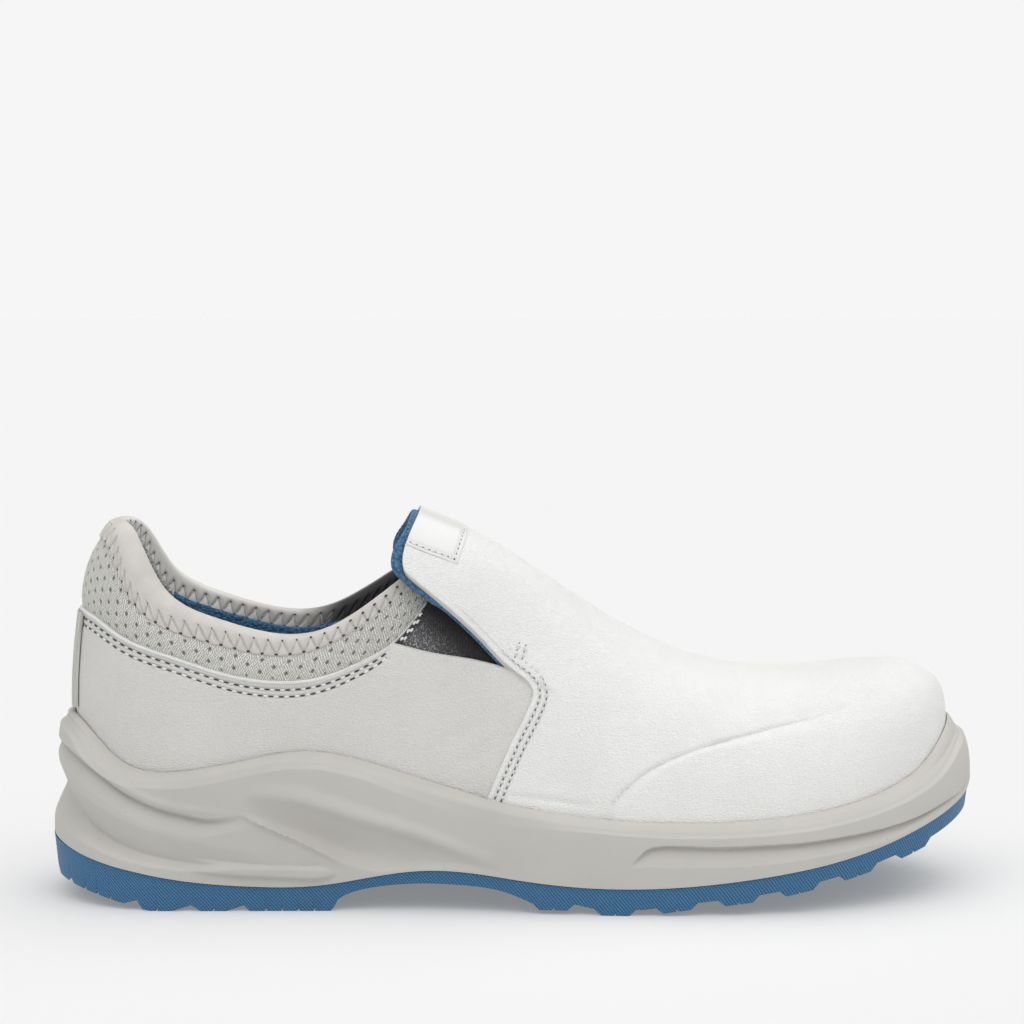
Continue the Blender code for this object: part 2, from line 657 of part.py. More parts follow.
def make_midsole():
    """Sole body: flank with lip outside, a cup that holds the upper inside."""
    s = sole_stations(11, 32, 17)
    cup, floor = leather_outside(s) + GAP, SECTIONS["seat"](s) - GAP
    outline = []
    for side in (OUTER_SIDE, INNER_SIDE):
        rows, lip = flank_rows(s, side, cup)
        outside = [flank(s, side, cup, z, lip) for z in rows]
        inside = [wall_at(s, side, floor + (lip - floor) * share, cup) for share in (1.0, 0.4, 0.0)]
        inside[-1][:, 2] = floor
        outline.append(outside + inside)
    ring = outline[0] + across(outline[0][-1], outline[1][-1]) + outline[1][::-1]
    ring += across(outline[1][0], outline[0][0])
    loft("midsole", np.stack(ring, axis=1), GREY, 0.6)


def make_insole():
    """Footbed inside the upper."""
    s = sole_stations(9, 16, 12)
    floor = SECTIONS["seat"](s)
    low = [wall_at(s, side, floor, -GAP) for side in (OUTER_SIDE, INNER_SIDE)]
    high = [wall_at(s, side, floor + INSOLE, -GAP) for side in (OUTER_SIDE, INNER_SIDE)]
    ring = [low[0], high[0]] + across(high[0], high[1]) + [high[1], low[1]] + across(low[1], low[0])
    loft("insole", np.stack(ring, axis=1), BLUE, 0.9)


def lugs():
    """Start and end of each lug's foot."""
    first = FORE_LUG_FIRST + FORE_LUG_PITCH * np.arange(FORE_LUG_COUNT)
    return list(HEEL_LUGS) + [(x - FORE_LUG_LENGTH / 2, x + FORE_LUG_LENGTH / 2) for x in first]


def ground(x):
    """Height of the lugs' feet: bevelled at the heel, a little raised after the arch, rising to the toe."""
    heel = HEEL_BEVEL * np.clip(1 - x / HEEL_BEVEL_END, 0, 1)
    fore = np.where(x > ARCH_END, FORE_LIFT * (1 - ease(x, *FORE_LIFT_SPAN)), 0.0)
    return heel + fore + np.where(x < TOE_SPRING_START, 0.0, TOE_SPRING(x))


def root(x):
    """Height of the tread between the lugs."""
    inside = (x > ARCH_START) & (x < ARCH_END)
    return np.where(inside, np.maximum(ARCH(x), ground(x) + LUG_DEPTH), ground(x) + LUG_DEPTH)


def make_outsole():
    """Tread with cross lugs, split by two channels, and a thin arch."""
    stations = [(x, 0.0) for x in PLAIN_TREAD]
    for start, end in lugs():
        inside = spread(2 + int((end - start) / TREAD_STEP), start, end)
        stations += [(start - LUG_SLOPE, 0.0), (end + LUG_SLOPE, 0.0)] + [(x, 1.0) for x in inside]
    x, foot = np.array(sorted(stations)).T
    s = x / LENGTH
    base = root(x)
    sole = np.where(foot > 0, ground(x), base)
    sides = []
    for side in (OUTER_SIDE, INNER_SIDE):
        up_x, up_y = plan(s, side, TREAD_INSET)
        down_x, down_y = plan(s, side, TREAD_INSET + LUG_TAPER)
        top = JOINT(up_x) - GAP / 2
        sides.append((np.stack([up_x, up_y, top], -1), np.stack([down_x, down_y, sole], -1)))
    (up_a, down_a), (up_b, down_b) = sides
    bottom = []
    for share, raised in TREAD_PROFILE:
        point = down_a + (down_b - down_a) * (1 + share) / 2
        point[:, 2] = np.where(raised, base, sole)
        bottom.append(point)
    ring = [up_a, down_a] + bottom + [down_b, up_b] + across(up_b, up_a)
    loft("outsole", np.stack(ring, axis=1), BLUE, 0.6)


def main():
    """Build the shoe."""
    for item in list(bpy.data.objects):
        bpy.data.objects.remove(item, do_unlink=True)
    make_outsole()
    make_midsole()
    make_upper()
    make_collar()
    make_gores()
    make_flap_lining()
    make_flap_label()
    make_heel_strip()
    make_insole()


main()
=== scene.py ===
"""Looks of a slip-on safety shoe for the right foot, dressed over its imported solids.

Every shape is drawn in millimetres, with x from the heel to the toe, y from the outer (lateral) to the
inner (medial) side and z up from the floor, on the same last as the solids, and is then placed in metres.
"""

import math

import bmesh
import bpy
import numpy as np
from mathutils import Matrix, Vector
from mathutils.kdtree import KDTree


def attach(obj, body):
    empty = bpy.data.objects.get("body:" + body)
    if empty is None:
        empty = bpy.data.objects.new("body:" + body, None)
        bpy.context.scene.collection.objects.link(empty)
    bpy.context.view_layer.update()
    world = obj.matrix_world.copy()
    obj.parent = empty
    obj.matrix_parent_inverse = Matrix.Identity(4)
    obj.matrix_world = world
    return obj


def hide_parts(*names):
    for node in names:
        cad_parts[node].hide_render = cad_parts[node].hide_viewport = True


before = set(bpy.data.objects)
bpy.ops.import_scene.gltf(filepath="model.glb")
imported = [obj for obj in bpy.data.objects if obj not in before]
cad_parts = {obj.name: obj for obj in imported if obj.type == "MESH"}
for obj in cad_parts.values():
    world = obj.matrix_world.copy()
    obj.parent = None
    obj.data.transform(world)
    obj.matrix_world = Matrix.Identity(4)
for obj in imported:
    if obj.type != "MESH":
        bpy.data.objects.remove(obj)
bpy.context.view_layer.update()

# Driving sizes
MM = 0.001
LENGTH = 300.0
BALL_WIDTH = 102.0
INSTEP_HEIGHT = 122.5
COLLAR_HEIGHT = 120.5
TOE_TIP_HEIGHT = 48.0
LEATHER = 2.0
VAMP_INNER, VAMP_OUTER = 1.0, 3.2
GAP = 0.3
LIP, LIP_DROP, TOE_LIP_DROP = 2.6, 0.9, 2.4
TOE_LIP_SPAN = (0.93, 0.995)
PAD_INNER, PAD_OUTER = -4.2, 1.9
PAD_SLIM, SLIM_REACH = -0.6, 0.08
LINING, LINING_GAP, LINING_SHEET = 2.2, 0.48, 0.7
FLAP_FLARE, FLARE_POWER = 6.0, 0.5
GORE = 1.5
STRIP = 1.1
LABEL = 0.6
INSOLE = 4.0
LUG_DEPTH = 3.0
OUTER_SIDE, INNER_SIDE = SIDES = -1.0, 1.0
HEEL_CAP, HEEL_POWER = 0.135, 2.25
TOE_CAP, TOE_POWER = 0.27, 2.35
CROWN_START, CROWN_POWER = 0.90, 3.0
LEAN_FROM = 40.0
HEEL_CURVE_REACH = 0.16
TALLEST = 190.0
ROUND_POWER = 1.8
HEEL_STATIONS_END, TOE_STATIONS_START = 0.16, 0.72
RIDGE_COUNT, RIM_COUNT, OUTLINE_COUNT = 2001, 4001, 400


# Curves


def spline(xs, ys):
    """A natural cubic spline through a few points, straight past its ends."""
    xs, ys = np.asarray(xs, float), np.asarray(ys, float)
    step, rise = np.diff(xs), np.diff(ys)
    count = len(xs)
    matrix, right = np.eye(count), np.zeros(count)
    for k in range(1, count - 1):
        matrix[k, k - 1 : k + 2] = step[k - 1], 2 * (step[k - 1] + step[k]), step[k]
        right[k] = 6 * (rise[k] / step[k] - rise[k - 1] / step[k - 1])
    bend = np.linalg.solve(matrix, right)
    first = rise[0] / step[0] - bend[1] * step[0] / 6
    last = rise[-1] / step[-1] + bend[-2] * step[-1] / 6

    def curve(x):
        x = np.asarray(x, float)
        inside = np.clip(x, xs[0], xs[-1])
        k = np.clip(np.searchsorted(xs, inside) - 1, 0, count - 2)
        h, a, b = step[k], xs[k + 1] - inside, inside - xs[k]
        value = (bend[k] * a**3 + bend[k + 1] * b**3) / (6 * h)
        value += (ys[k] / h - bend[k] * h / 6) * a + (ys[k + 1] / h - bend[k + 1] * h / 6) * b
        return value + np.minimum(x - xs[0], 0) * first + np.maximum(x - xs[-1], 0) * last

    return curve


def table(names, *rows):
    """The columns of a short table as smooth curves over its first column."""
    values = np.array(rows, float)
    return {name: spline(values[:, 0], values[:, k]) for k, name in enumerate(names.split())}


def line(*points):
    """A smooth line of the side view: height over x."""
    return table("x z", *points)["z"]


def ease(x, start, end):
    """0 before start, 1 after end and a smooth step between them."""
    t = np.clip((np.asarray(x, float) - start) / (end - start), 0, 1)
    return t * t * (3 - 2 * t)


def bell(x, width):
    """1 in the middle of a trough or ridge of that full width, 0 past its edges."""
    return 1 - ease(np.abs(x), 0, width / 2)


def spread(count, start=0.0, end=1.0):
    """Evenly spaced values."""
    return np.linspace(start, end, count)


def circle(count):
    """Angles spaced evenly round a circle."""
    return spread(count + 1)[:-1] * 2 * math.pi


def two_spreads(first, second, start, middle, end):
    """Evenly spaced values up to a middle one and, at another step, after it."""
    return np.concatenate([spread(first, start, middle)[:-1], spread(second, middle, end)])


# Sections of the last: half widths are shares of the ball width, inset and seat are millimetres
SECTIONS = table(
    "along  centre  outer  inner  inset  seat  square  pinch  lean",
    (0.00, 0.0, 0.345, 0.345, -9.3, 26.0, 0.74, 0.00, 0.00),
    (0.15, 0.0, 0.368, 0.358, -8.2, 25.5, 0.76, 0.00, 0.03),
    (0.30, 0.0, 0.380, 0.335, -8.0, 24.0, 0.76, 0.03, 0.36),
    (0.40, 0.0, 0.402, 0.325, -8.4, 21.8, 0.78, 0.06, 0.43),
    (0.50, 0.2, 0.441, 0.350, -8.8, 18.6, 0.82, 0.08, 0.43),
    (0.60, 0.8, 0.480, 0.414, -9.2, 15.9, 0.86, 0.07, 0.30),
    (0.70, 1.8, 0.508, 0.464, -9.3, 15.4, 0.86, 0.04, 0.12),
    (0.80, 3.2, 0.512, 0.470, -9.6, 18.6, 0.84, 0.02, 0.01),
    (0.90, 4.6, 0.492, 0.448, -10.4, 25.0, 0.82, 0.00, 0.00),
    (1.00, 6.0, 0.470, 0.430, -11.7, 35.5, 0.82, 0.00, 0.00),
)
HEEL_CURVE = table(
    "z  shift",
    (10, 4.0), (35, 1.8), (60, 0.7), (80, 1.7), (92, 3.2), (101, 4.8), (111, 7.8), (121, 12.6), (130, 18.0),
)["shift"]

# Lines of the side view. The ridge is the top of instep and toe, carried on as a leg behind the flap
RIDGE = line(
    (-20, 171), (40, 158), (80, 143), (105, 131), (121, INSTEP_HEIGHT), (136, 116.2), (162, 100.2),
    (178, 89.7), (194, 80.9), (207, 75.4), (221, 71.9), (238, 70.5), (254, 71.6), (270, 73.0), (300, 73.0),
)
JOINT = line(
    (0, 20.0), (7, 17.9), (14, 16.0), (22, 14.0), (30, 12.4), (40, 10.5), (67, 7.9), (88, 8.3),
    (104, 11.0), (119, 13.1), (134, 12.8), (150, 10.7), (170, 8.8), (190, 8.7), (210, 10.2), (230, 12.8),
    (255, 17.4), (280, 25.0), (292, 29.9), (296.5, 32.6), (298.8, 35.4), (300, 38.0),
)
LIP_LINE = line(
    (5.7, 59.5), (12, 57.0), (18.5, 51.4), (25, 46.2), (33, 43.4), (45, 43.4), (66, 47.3), (83, 49.7),
    (98, 47.6), (115, 42.6), (142, 34.8), (165, 30.6), (192, 28.6), (223, 29.1), (255, 33.1), (272, 38.2),
    (280, 42.6), (286, 48.0), (291, 53.0),
)
PIPING = line(
    (7, 91.8), (14, 91.0), (25, 85.2), (41, 79.3), (58, 73.7), (74, 71.1), (88, 72.2), (102, 77.7),
    (111, 83.6), (117, 90.4), (124, 100.0),
)
GORE_EDGE = line((60, 92.5), (114, 82.0), (122, 80.0), (135, 77.8), (149.5, 74.0), (190, 63.0))
BINDING_LOW = line(
    (16, 114.5), (21, 112.0), (26, 101.5), (33, 92.2), (47, 85.4), (60, 81.8), (74, 79.4), (86, 81.0),
    (98, 86.8), (109, 94.8), (124, 106.5),
)
BINDING_TOP = line(
    (18, COLLAR_HEIGHT), (23, 119.4), (28, 113.2), (33, 104.0), (40, 96.6), (51, 91.6), (66, 87.2),
    (76, 85.8), (88, 87.6), (102, 95.4), (113, 103.4), (124, 111.0),
)
TOE_LEDGE = line(
    (176, 22.0), (178.2, 31.0), (180.4, 35.2), (184.5, 39.3), (188.7, 42.7), (193.9, 45.7), (202.4, 49.1),
    (212, 51.9), (221.6, 54.2), (231.4, 56.3), (245.6, 58.8), (257, 61.8), (300, 74.0),
)
TOE_LEDGE_STEP, TOE_LEDGE_RISE = 0.9, (174.5, 178.5)

# Rear edge of the vamp: up the seam, round the throat's corner, back along the flap and over its end
SEAM_FOOT, THROAT, FLAP_TIP = (127.5, 8.0), (152.7, 71.4), (118.0, 118.0)
VAMP_EDGE = (
    SEAM_FOOT, (134.0, 22.0), (139.6, 34.3), (146.6, 50.2), (150.8, 58.4), (154.1, 65.2), (154.6, 68.2),
    THROAT, (146.5, 76.3), (139.2, 84.0), (128.5, 94.2), (117.4, 103.2), (113.9, 107.4), (114.4, 113.0),
    (117.2, 119.5), (119.8, 124.5),
)
QUARTER_FRONT = (158.0, 40.0)
COLLAR_FRONT = (122.0, 99.0)
INNER_RISE, INNER_RISE_SPAN = 1.8, (0.07, 0.13, 0.26, 0.32)
GORE_SPAN, GORE_MARGIN = ((109.0, 80.0), (152.0, 60.0)), 5.0
GORE_TOP_TURN, LINING_LOW_TURN = 0.56, 0.50
LINING_SIDE_END, LINING_END = 0.378, 0.50
LABEL_START, LABEL_END, LABEL_TURN = 0.001, (132.9, 111.9), 0.67
STRIP_HALF, STRIP_TOP, STRIP_FOOT = 0.008, 91.0, 60.5


# The last


def closure(s):
    """Share of the full width that the rounded heel and toe leave at a station."""
    heel = np.clip((HEEL_CAP - s) / HEEL_CAP, 0, 1)
    toe = np.clip((s - 1 + TOE_CAP) / TOE_CAP, 0, 1)
    return (1 - heel**HEEL_POWER) ** (1 / HEEL_POWER) * (1 - toe**TOE_POWER) ** (1 / TOE_POWER)


def half_width(s, side):
    """Half the width of the sole at a station, on one side."""
    return BALL_WIDTH * np.where(np.asarray(side) < 0, SECTIONS["outer"](s), SECTIONS["inner"](s))


def plan(s, side, offset):
    """A point of the sole's outline, moved out by an offset."""
    x = s * LENGTH + (2 * s - 1) * offset
    return x, SECTIONS["centre"](s) + side * (half_width(s, side) + offset) * closure(s)


def station_x(s, z, offset):
    """Where a station's section, which leans with the instep, stands at a height."""
    reach = offset + SECTIONS["inset"](s)
    lean = SECTIONS["lean"](s) * (z - LEAN_FROM)
    back = HEEL_CURVE(z) * (1 - ease(s, 0, HEEL_CURVE_REACH))
    return s * LENGTH + (2 * s - 1) * reach + lean + back


def solve(rising, low, high, steps=44):
    """Where a rising function of arrays crosses zero."""
    for _ in range(steps):
        middle = (low + high) / 2
        over = rising(middle) > 0
        low, high = np.where(over, low, middle), np.where(over, middle, high)
    return (low + high) / 2


def height_on(s, side_line, offset):
    """Height at which a station meets a line of the side view."""
    s = np.asarray(s, float)
    return solve(lambda z: z - side_line(station_x(s, z, offset)), 0 * s, 0 * s + TALLEST)


def station_at(x, z, offset):
    """The station that passes through a point of the side view."""
    x = np.asarray(x, float)
    return solve(lambda s: station_x(s, z, offset) - x, 0 * x, 0 * x + 1)


RIDGE_STATIONS = spread(RIDGE_COUNT)
RIDGE_HEIGHTS = height_on(RIDGE_STATIONS, RIDGE, VAMP_OUTER) - VAMP_OUTER


def ridge(s):
    """Height of the last's top at a station, rounded off over the toe."""
    top = np.interp(s, RIDGE_STATIONS, RIDGE_HEIGHTS)
    drop = np.clip((s - CROWN_START) / (1 - CROWN_START), 0, 1)
    return TOE_TIP_HEIGHT + (top - TOE_TIP_HEIGHT) * (1 - drop**CROWN_POWER) ** (1 / CROWN_POWER)


def turn_at(s, z, offset):
    """How far round its section, from 0 at the base to 1 on the ridge, a station reaches a height."""
    base = SECTIONS["seat"](s)
    share = np.clip((z - base) / (ridge(s) + offset - base), 0, 1)
    return np.arcsin(share ** (1 / SECTIONS["square"](s))) * 2 / math.pi


def wall(s, side, turn, offset, flare=0.0):
    """A point of the last's surface, moved out by an offset and, where it stands free, by a flare."""
    s, side, turn = np.broadcast_arrays(*(np.asarray(v, float) for v in (s, side, turn)))
    base, square = SECTIONS["seat"](s), SECTIONS["square"](s)
    rise = np.clip(np.sin(turn * math.pi / 2), 0, 1) ** square
    run = np.clip(np.cos(turn * math.pi / 2), 0, 1) ** square * (1 - SECTIONS["pinch"](s) * rise)
    z = base + (ridge(s) + offset - base) * rise
    half = (half_width(s, side) + SECTIONS["inset"](s) + offset) * closure(s)
    y = SECTIONS["centre"](s) + side * (half * run + flare)
    return np.stack([station_x(s, z, offset), y, z], axis=-1)


def wall_at(s, side, z, offset):
    """The same surface, by height."""
    return wall(s, side, turn_at(s, z, offset), offset)


def heel_end(reach, count):
    """Stations from the back of the heel, closest together where the outline turns round it."""
    return reach * spread(count) ** ROUND_POWER


def toe_end(reach, count):
    """The same at the toe."""
    return 1 - heel_end(reach, count)[::-1]


def sole_stations(heel, middle, toe):
    """Stations along the whole sole."""
    back, front = HEEL_STATIONS_END, TOE_STATIONS_START
    parts = heel_end(back, heel)[:-1], spread(middle, back, front)[:-1], toe_end(1 - front, toe)
    return np.concatenate(parts)


def along(points):
    """Distance travelled along a line of points."""
    steps = np.linalg.norm(np.diff(points, axis=0), axis=1)
    return np.concatenate([[0.0], np.cumsum(steps)])


def round_heel(root):
    """Stations and sides from signed roots of stations, which are negative on the outer side."""
    return root**2, np.where(root < 0, OUTER_SIDE, INNER_SIDE)


def horseshoe(front, side_line, offset, step):
    """Stations, sides and distances, even on a side view's line, from the outer front round the heel."""
    root = spread(RIM_COUNT, -math.sqrt(front), math.sqrt(front))
    s, side = round_heel(root)
    travelled = along(wall_at(s, side, height_on(s, side_line, offset), offset))
    count = 2 * round(travelled[-1] / step / 2) + 1
    distance = spread(count, 0, travelled[-1])
    even = np.interp(distance, travelled, root)
    even[count // 2] = 0.0
    return *round_heel(even), distance


# Meshes

SAME_POINT = 1e-7


def placed(points):
    """Points in metres, with the origin at the middle of the footprint."""
    s = spread(OUTLINE_COUNT)
    low, high = plan(s, OUTER_SIDE, 0.0)[1].min(), plan(s, INNER_SIDE, 0.0)[1].max()
    return (points - np.array([LENGTH / 2, (low + high) / 2, 0.0])) * MM


def added(name, data):
    """A new object in the scene."""
    item = bpy.data.objects.new(name, data)
    bpy.context.collection.objects.link(item)
    return item


def mesh_piece(name, points, faces, finishes, second=None, uv=None, marks=None, sharp=None):
    """A piece of the shoe from points in millimetres. marks are named values on its points."""
    mesh = bpy.data.meshes.new(name)
    mesh.from_pydata(placed(points).tolist(), [], faces)
    for finish in finishes:
        mesh.materials.append(finish)
    if second is not None:
        mesh.polygons.foreach_set("material_index", np.asarray(second, np.int32))
    corners = np.zeros(len(mesh.loops), np.int32)
    mesh.loops.foreach_get("vertex_index", corners)
    if uv is not None:
        mesh.uv_layers.new(name="mm").data.foreach_set("uv", uv[corners].astype(np.float32).ravel())
    for mark, values in (marks or {}).items():
        layer = mesh.attributes.new(mark, "FLOAT", "POINT")
        layer.data.foreach_set("value", values.astype(np.float32).ravel())
    work = bmesh.new()
    work.from_mesh(mesh)
    bmesh.ops.remove_doubles(work, verts=work.verts, dist=SAME_POINT)
    bmesh.ops.dissolve_degenerate(work, dist=SAME_POINT, edges=work.edges)
    bmesh.ops.recalc_face_normals(work, faces=work.faces)
    work.to_mesh(mesh)
    work.free()
    mesh.shade_smooth()
    if sharp:
        mesh.set_sharp_from_angle(angle=math.radians(sharp))
    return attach(added(name, mesh), "root")


def grid_quads(rows, columns, first=0, closed=False):
    """Quads of a grid of points stored row by row, closed round each row if asked."""
    order = first + np.arange(rows * columns).reshape(rows, columns)
    if closed:
        order = np.hstack([order, order[:, :1]])
    corners = order[:-1, :-1], order[:-1, 1:], order[1:, 1:], order[1:, :-1]
    return np.stack(corners, axis=-1).reshape(-1, 4).tolist()


def ring_piece(name, rings, finishes, closed=True, capped=False, inner=None, uv=None, **layers):
    """A piece through rings of points. inner gives the finish of the faces from each point of a ring."""
    count, size = rings.shape[:2]
    faces = grid_quads(count, size, closed=closed)
    second = None
    if inner is not None:
        per_row = size if closed else size - 1
        second = np.broadcast_to(np.asarray(inner, np.int32)[..., :per_row], (count - 1, per_row)).ravel()
    if capped:
        faces += [list(range(size))[::-1], list(range((count - 1) * size, count * size))]
        second = None if second is None else np.concatenate([second, [0, 0]])
    flat_uv = None if uv is None else uv.reshape(-1, 2)
    return mesh_piece(name, rings.reshape(-1, 3), faces, finishes, second, flat_uv, **layers)


def across(start, end, count):
    """Points between two edges, without the edges."""
    return [start + (end - start) * share for share in spread(count + 2)[1:-1]]


def sheet_ring(high, low):
    """Rings of a sheet between two grids: along the upper one and back along the lower one."""
    return np.concatenate([high, low[:, ::-1]], axis=1)


# Finishes


def toned(colour, share):
    """A colour made darker or lighter."""
    return tuple(share * c for c in colour)


def add_node(tree, kind, inputs, **settings):
    """A node with its inputs set to values or linked to sockets."""
    made = tree.nodes.new("ShaderNode" + kind)
    for name, value in settings.items():
        setattr(made, name, value)
    for name, value in inputs.items():
        if isinstance(value, bpy.types.NodeSocket):
            tree.links.new(value, made.inputs[name])
        else:
            made.inputs[name].default_value = value
    return made


def range_inputs(value, low, high, start, end):
    """Inputs of a node that carries a value from one range to another."""
    return {"Value": value, "From Min": low, "From Max": high, "To Min": start, "To Max": end}


class Finish:
    """A procedural material whose patterns are measured in millimetres."""

    def __init__(self, name, colour, roughness, sockets=None):
        self.material = bpy.data.materials.new(name)
        self.material.use_nodes = True
        self.tree = self.material.node_tree
        self.shader = self.tree.nodes["Principled BSDF"]
        self.shader.inputs["Base Color"].default_value = (*colour, 1.0)
        self.shader.inputs["Roughness"].default_value = roughness
        for socket, value in (sockets or {}).items():
            self.shader.inputs[socket].default_value = value

    def node(self, kind, inputs, **settings):
        """A node of the material."""
        return add_node(self.tree, kind, inputs, **settings)

    def space(self, scale=(1, 1, 1), turn=0.0, flat=False):
        """Places on the piece in millimetres, in space or, if flat, on its own surface."""
        source = self.node("TexCoord", {}).outputs["UV" if flat else "Object"]
        unit = 1.0 if flat else 1 / MM
        size = tuple(unit * part for part in scale)
        turned = (0, 0, math.radians(turn))
        return self.node("Mapping", {"Vector": source, "Scale": size, "Rotation": turned}).outputs["Vector"]

    def noise(self, place, size, detail=2.0):
        """Soft random spots of about a size."""
        return self.node("TexNoise", {"Vector": place, "Scale": 1 / size, "Detail": detail}).outputs["Fac"]

    def cells(self, place, size, feature="F1"):
        """Distance from the middles, or the edges, of random cells of about a size."""
        inputs = {"Vector": place, "Scale": 1 / size}
        return self.node("TexVoronoi", inputs, feature=feature).outputs["Distance"]

    def stripes(self, place, pitch, wobble=0.0):
        """Soft stripes across x at a pitch."""
        inputs = {"Vector": place, "Scale": math.pi / 10 / pitch, "Distortion": wobble}
        return self.node("TexWave", inputs).outputs["Fac"]

    def mark(self, name):
        """A named value on the piece's points."""
        return self.node("Attribute", {}, attribute_name=name).outputs["Fac"]

    def sums(self, operation, a, b):
        """A sum, product or other operation of two values."""
        return self.node("Math", {0: a, 1: b}, operation=operation).outputs[0]

    def ramp(self, value, low, high, start=0.0, end=1.0):
        """A value carried from one range to another and held there."""
        return self.node("MapRange", range_inputs(value, low, high, start, end)).outputs["Result"]

    def tint(self, share, first, second):
        """Colours the piece from a first to a second colour, each a colour or a socket."""
        inputs = {0: share}
        for name, colour in ((6, first), (7, second)):
            inputs[name] = colour if isinstance(colour, bpy.types.NodeSocket) else (*colour, 1.0)
        mixed = self.node("Mix", inputs, data_type="RGBA").outputs[2]
        self.tree.links.new(mixed, self.shader.inputs["Base Color"])
        return mixed

    def rough(self, value):
        """Roughness from a pattern."""
        self.tree.links.new(value, self.shader.inputs["Roughness"])

    def relief(self, height, depth, strength=1.0):
        """Fine relief from a pattern, with its depth in millimetres."""
        inputs = {"Height": height, "Distance": depth * MM, "Strength": strength}
        bump = self.node("Bump", inputs)
        self.tree.links.new(bump.outputs["Normal"], self.shader.inputs["Normal"])


def leather_finish(name, colour):
    """Coated microfibre with a fine pebble grain that is drawn out along the shoe."""
    finish = Finish(name, colour, 0.46, {"Specular IOR Level": 0.42})
    place = finish.space((0.55, 1.0, 1.0))
    pebbles = finish.cells(place, 0.75, "DISTANCE_TO_EDGE")
    grain = finish.noise(place, 0.55, 3.0)
    height = finish.sums("ADD", finish.ramp(pebbles, 0.0, 0.28), finish.sums("MULTIPLY", grain, 0.9))
    finish.relief(height, 0.21, 0.6)
    cloud = finish.noise(finish.space(), 22.0, 2.0)
    finish.tint(finish.ramp(cloud, 0.35, 0.65), toned(colour, 0.965), colour)
    finish.rough(finish.ramp(grain, 0.3, 0.7, 0.40, 0.52))
    return finish.material


def thread_finish(name, colour):
    """Spun thread."""
    finish = Finish(name, colour, 0.5)
    finish.relief(finish.stripes(finish.space((1, 1, 1.6), turn=40.0), 0.32), 0.06, 0.6)
    return finish.material


def hole_finish(name, tone):
    """Shade inside needle holes."""
    return Finish(name, (tone, tone, tone), 0.9).material


def sole_finish():
    """Warm grey moulded foam rubber with a fine skin and a few pinholes, which are painted dark as painted
    shade.
    """
    finish = Finish("grey_sole", GREY, 0.58, {"Specular IOR Level": 0.38})
    place = finish.space()
    skin = finish.noise(place, 0.55, 3.0)
    pits = finish.ramp(finish.cells(place, 6.0), 0.0, 0.045)
    finish.relief(finish.sums("ADD", finish.sums("MULTIPLY", skin, 0.5), pits), 0.12, 0.45)
    cloud = finish.ramp(finish.noise(place, 30.0, 3.0), 0.35, 0.65)
    body = finish.tint(cloud, toned(GREY, 0.955), GREY)
    # Painted shade: the pinholes are painted darker
    finish.tint(pits, toned(GREY, 0.55), body)
    finish.rough(finish.ramp(skin, 0.3, 0.7, 0.52, 0.64))
    return finish.material


def tread_finish():
    """Blue rubber with a fine knurl moulded on its sides, with painted shade in its grooves and a painted
    highlight on its ridges.
    """
    finish = Finish("blue_rubber", BLUE, 0.5, {"Specular IOR Level": 0.45})
    ribs = finish.stripes(finish.space(turn=-40.0, flat=True), 0.85)
    cross = finish.sums("MULTIPLY", finish.stripes(finish.space(turn=50.0, flat=True), 0.85), 0.4)
    knurl = finish.sums("MULTIPLY", finish.sums("ADD", ribs, cross), finish.mark("side"))
    finish.relief(knurl, 0.22, 0.8)
    # Painted shade and highlight: darker where the knurl is low, lighter where it is high; off the sides the
    # darker tone
    finish.tint(finish.ramp(knurl, 0.2, 1.4), toned(BLUE, 0.45), toned(BLUE, 1.35))
    return finish.material


def knit_finish():
    """Pale knitted mesh: slanted strokes of light yarn that change hands, grey gaps and small holes with
    painted shade.
    """
    finish = Finish("knit_mesh", KNIT, 0.78, {"Sheen Weight": 0.2})
    left = finish.stripes(finish.space(turn=30.0, flat=True), 0.66, 1.5)
    right = finish.stripes(finish.space(turn=-30.0, flat=True), 0.66, 1.5)
    hands = finish.ramp(finish.noise(finish.space(flat=True), 1.05, 1.0), 0.44, 0.56)
    leftish = finish.sums("MULTIPLY", left, hands)
    rightish = finish.sums("MULTIPLY", right, finish.sums("SUBTRACT", 1.0, hands))
    strokes = finish.sums("ADD", leftish, rightish)
    hole = finish.mark("hole")
    height = finish.sums("SUBTRACT", strokes, finish.sums("MULTIPLY", hole, 1.2))
    finish.relief(height, 0.40, 0.85)
    yarn = finish.tint(finish.ramp(strokes, 0.1, 0.75), toned(KNIT, 0.62), toned(KNIT, 1.22))
    # Painted shade: the holes are painted dark
    finish.tint(finish.ramp(hole, 0.2, 0.75), yarn, toned(KNIT, 0.30))
    return finish.material


def band_finish():
    """Soft pale binding with a short nap, with painted light on its inner face near the heel and painted
    shade, in the elastic's dark tone, on the far side's inner face towards the front.
    """
    finish = Finish("soft_binding", BAND, 0.70, {"Sheen Weight": 0.08})
    nap = finish.noise(finish.space(), 0.35, 4.0)
    finish.relief(nap, 0.10, 0.5)
    cloud = finish.ramp(finish.noise(finish.space(), 5.0, 3.0), 0.35, 0.65)
    body = finish.tint(cloud, toned(BAND, 0.92), BAND)
    # Painted light: the inner face near the heel is painted paler, where little light reaches it
    inside = finish.tint(finish.mark("pale"), body, PAINTED_LIGHT_BAND)
    # Painted shade: the far side's inner face is painted dark towards the collar's front, where the flap
    # shades it
    finish.tint(finish.mark("painted_shade"), inside, toned(DARK, 0.3))
    return finish.material


def lining_finish(name, colour, size):
    """Blue spacer mesh: small raised loops with darker gaps."""
    finish = Finish(name, colour, 0.85, {"Sheen Weight": 0.3})
    place = finish.space()
    loops = finish.cells(place, size)
    fuzz = finish.noise(place, 0.4, 3.0)
    height = finish.sums("SUBTRACT", finish.sums("MULTIPLY", fuzz, 0.5), loops)
    finish.relief(height, 0.5, 0.9)
    finish.tint(finish.ramp(loops, 0.15, 0.75), toned(colour, 1.25), toned(colour, 0.5))
    return finish.material


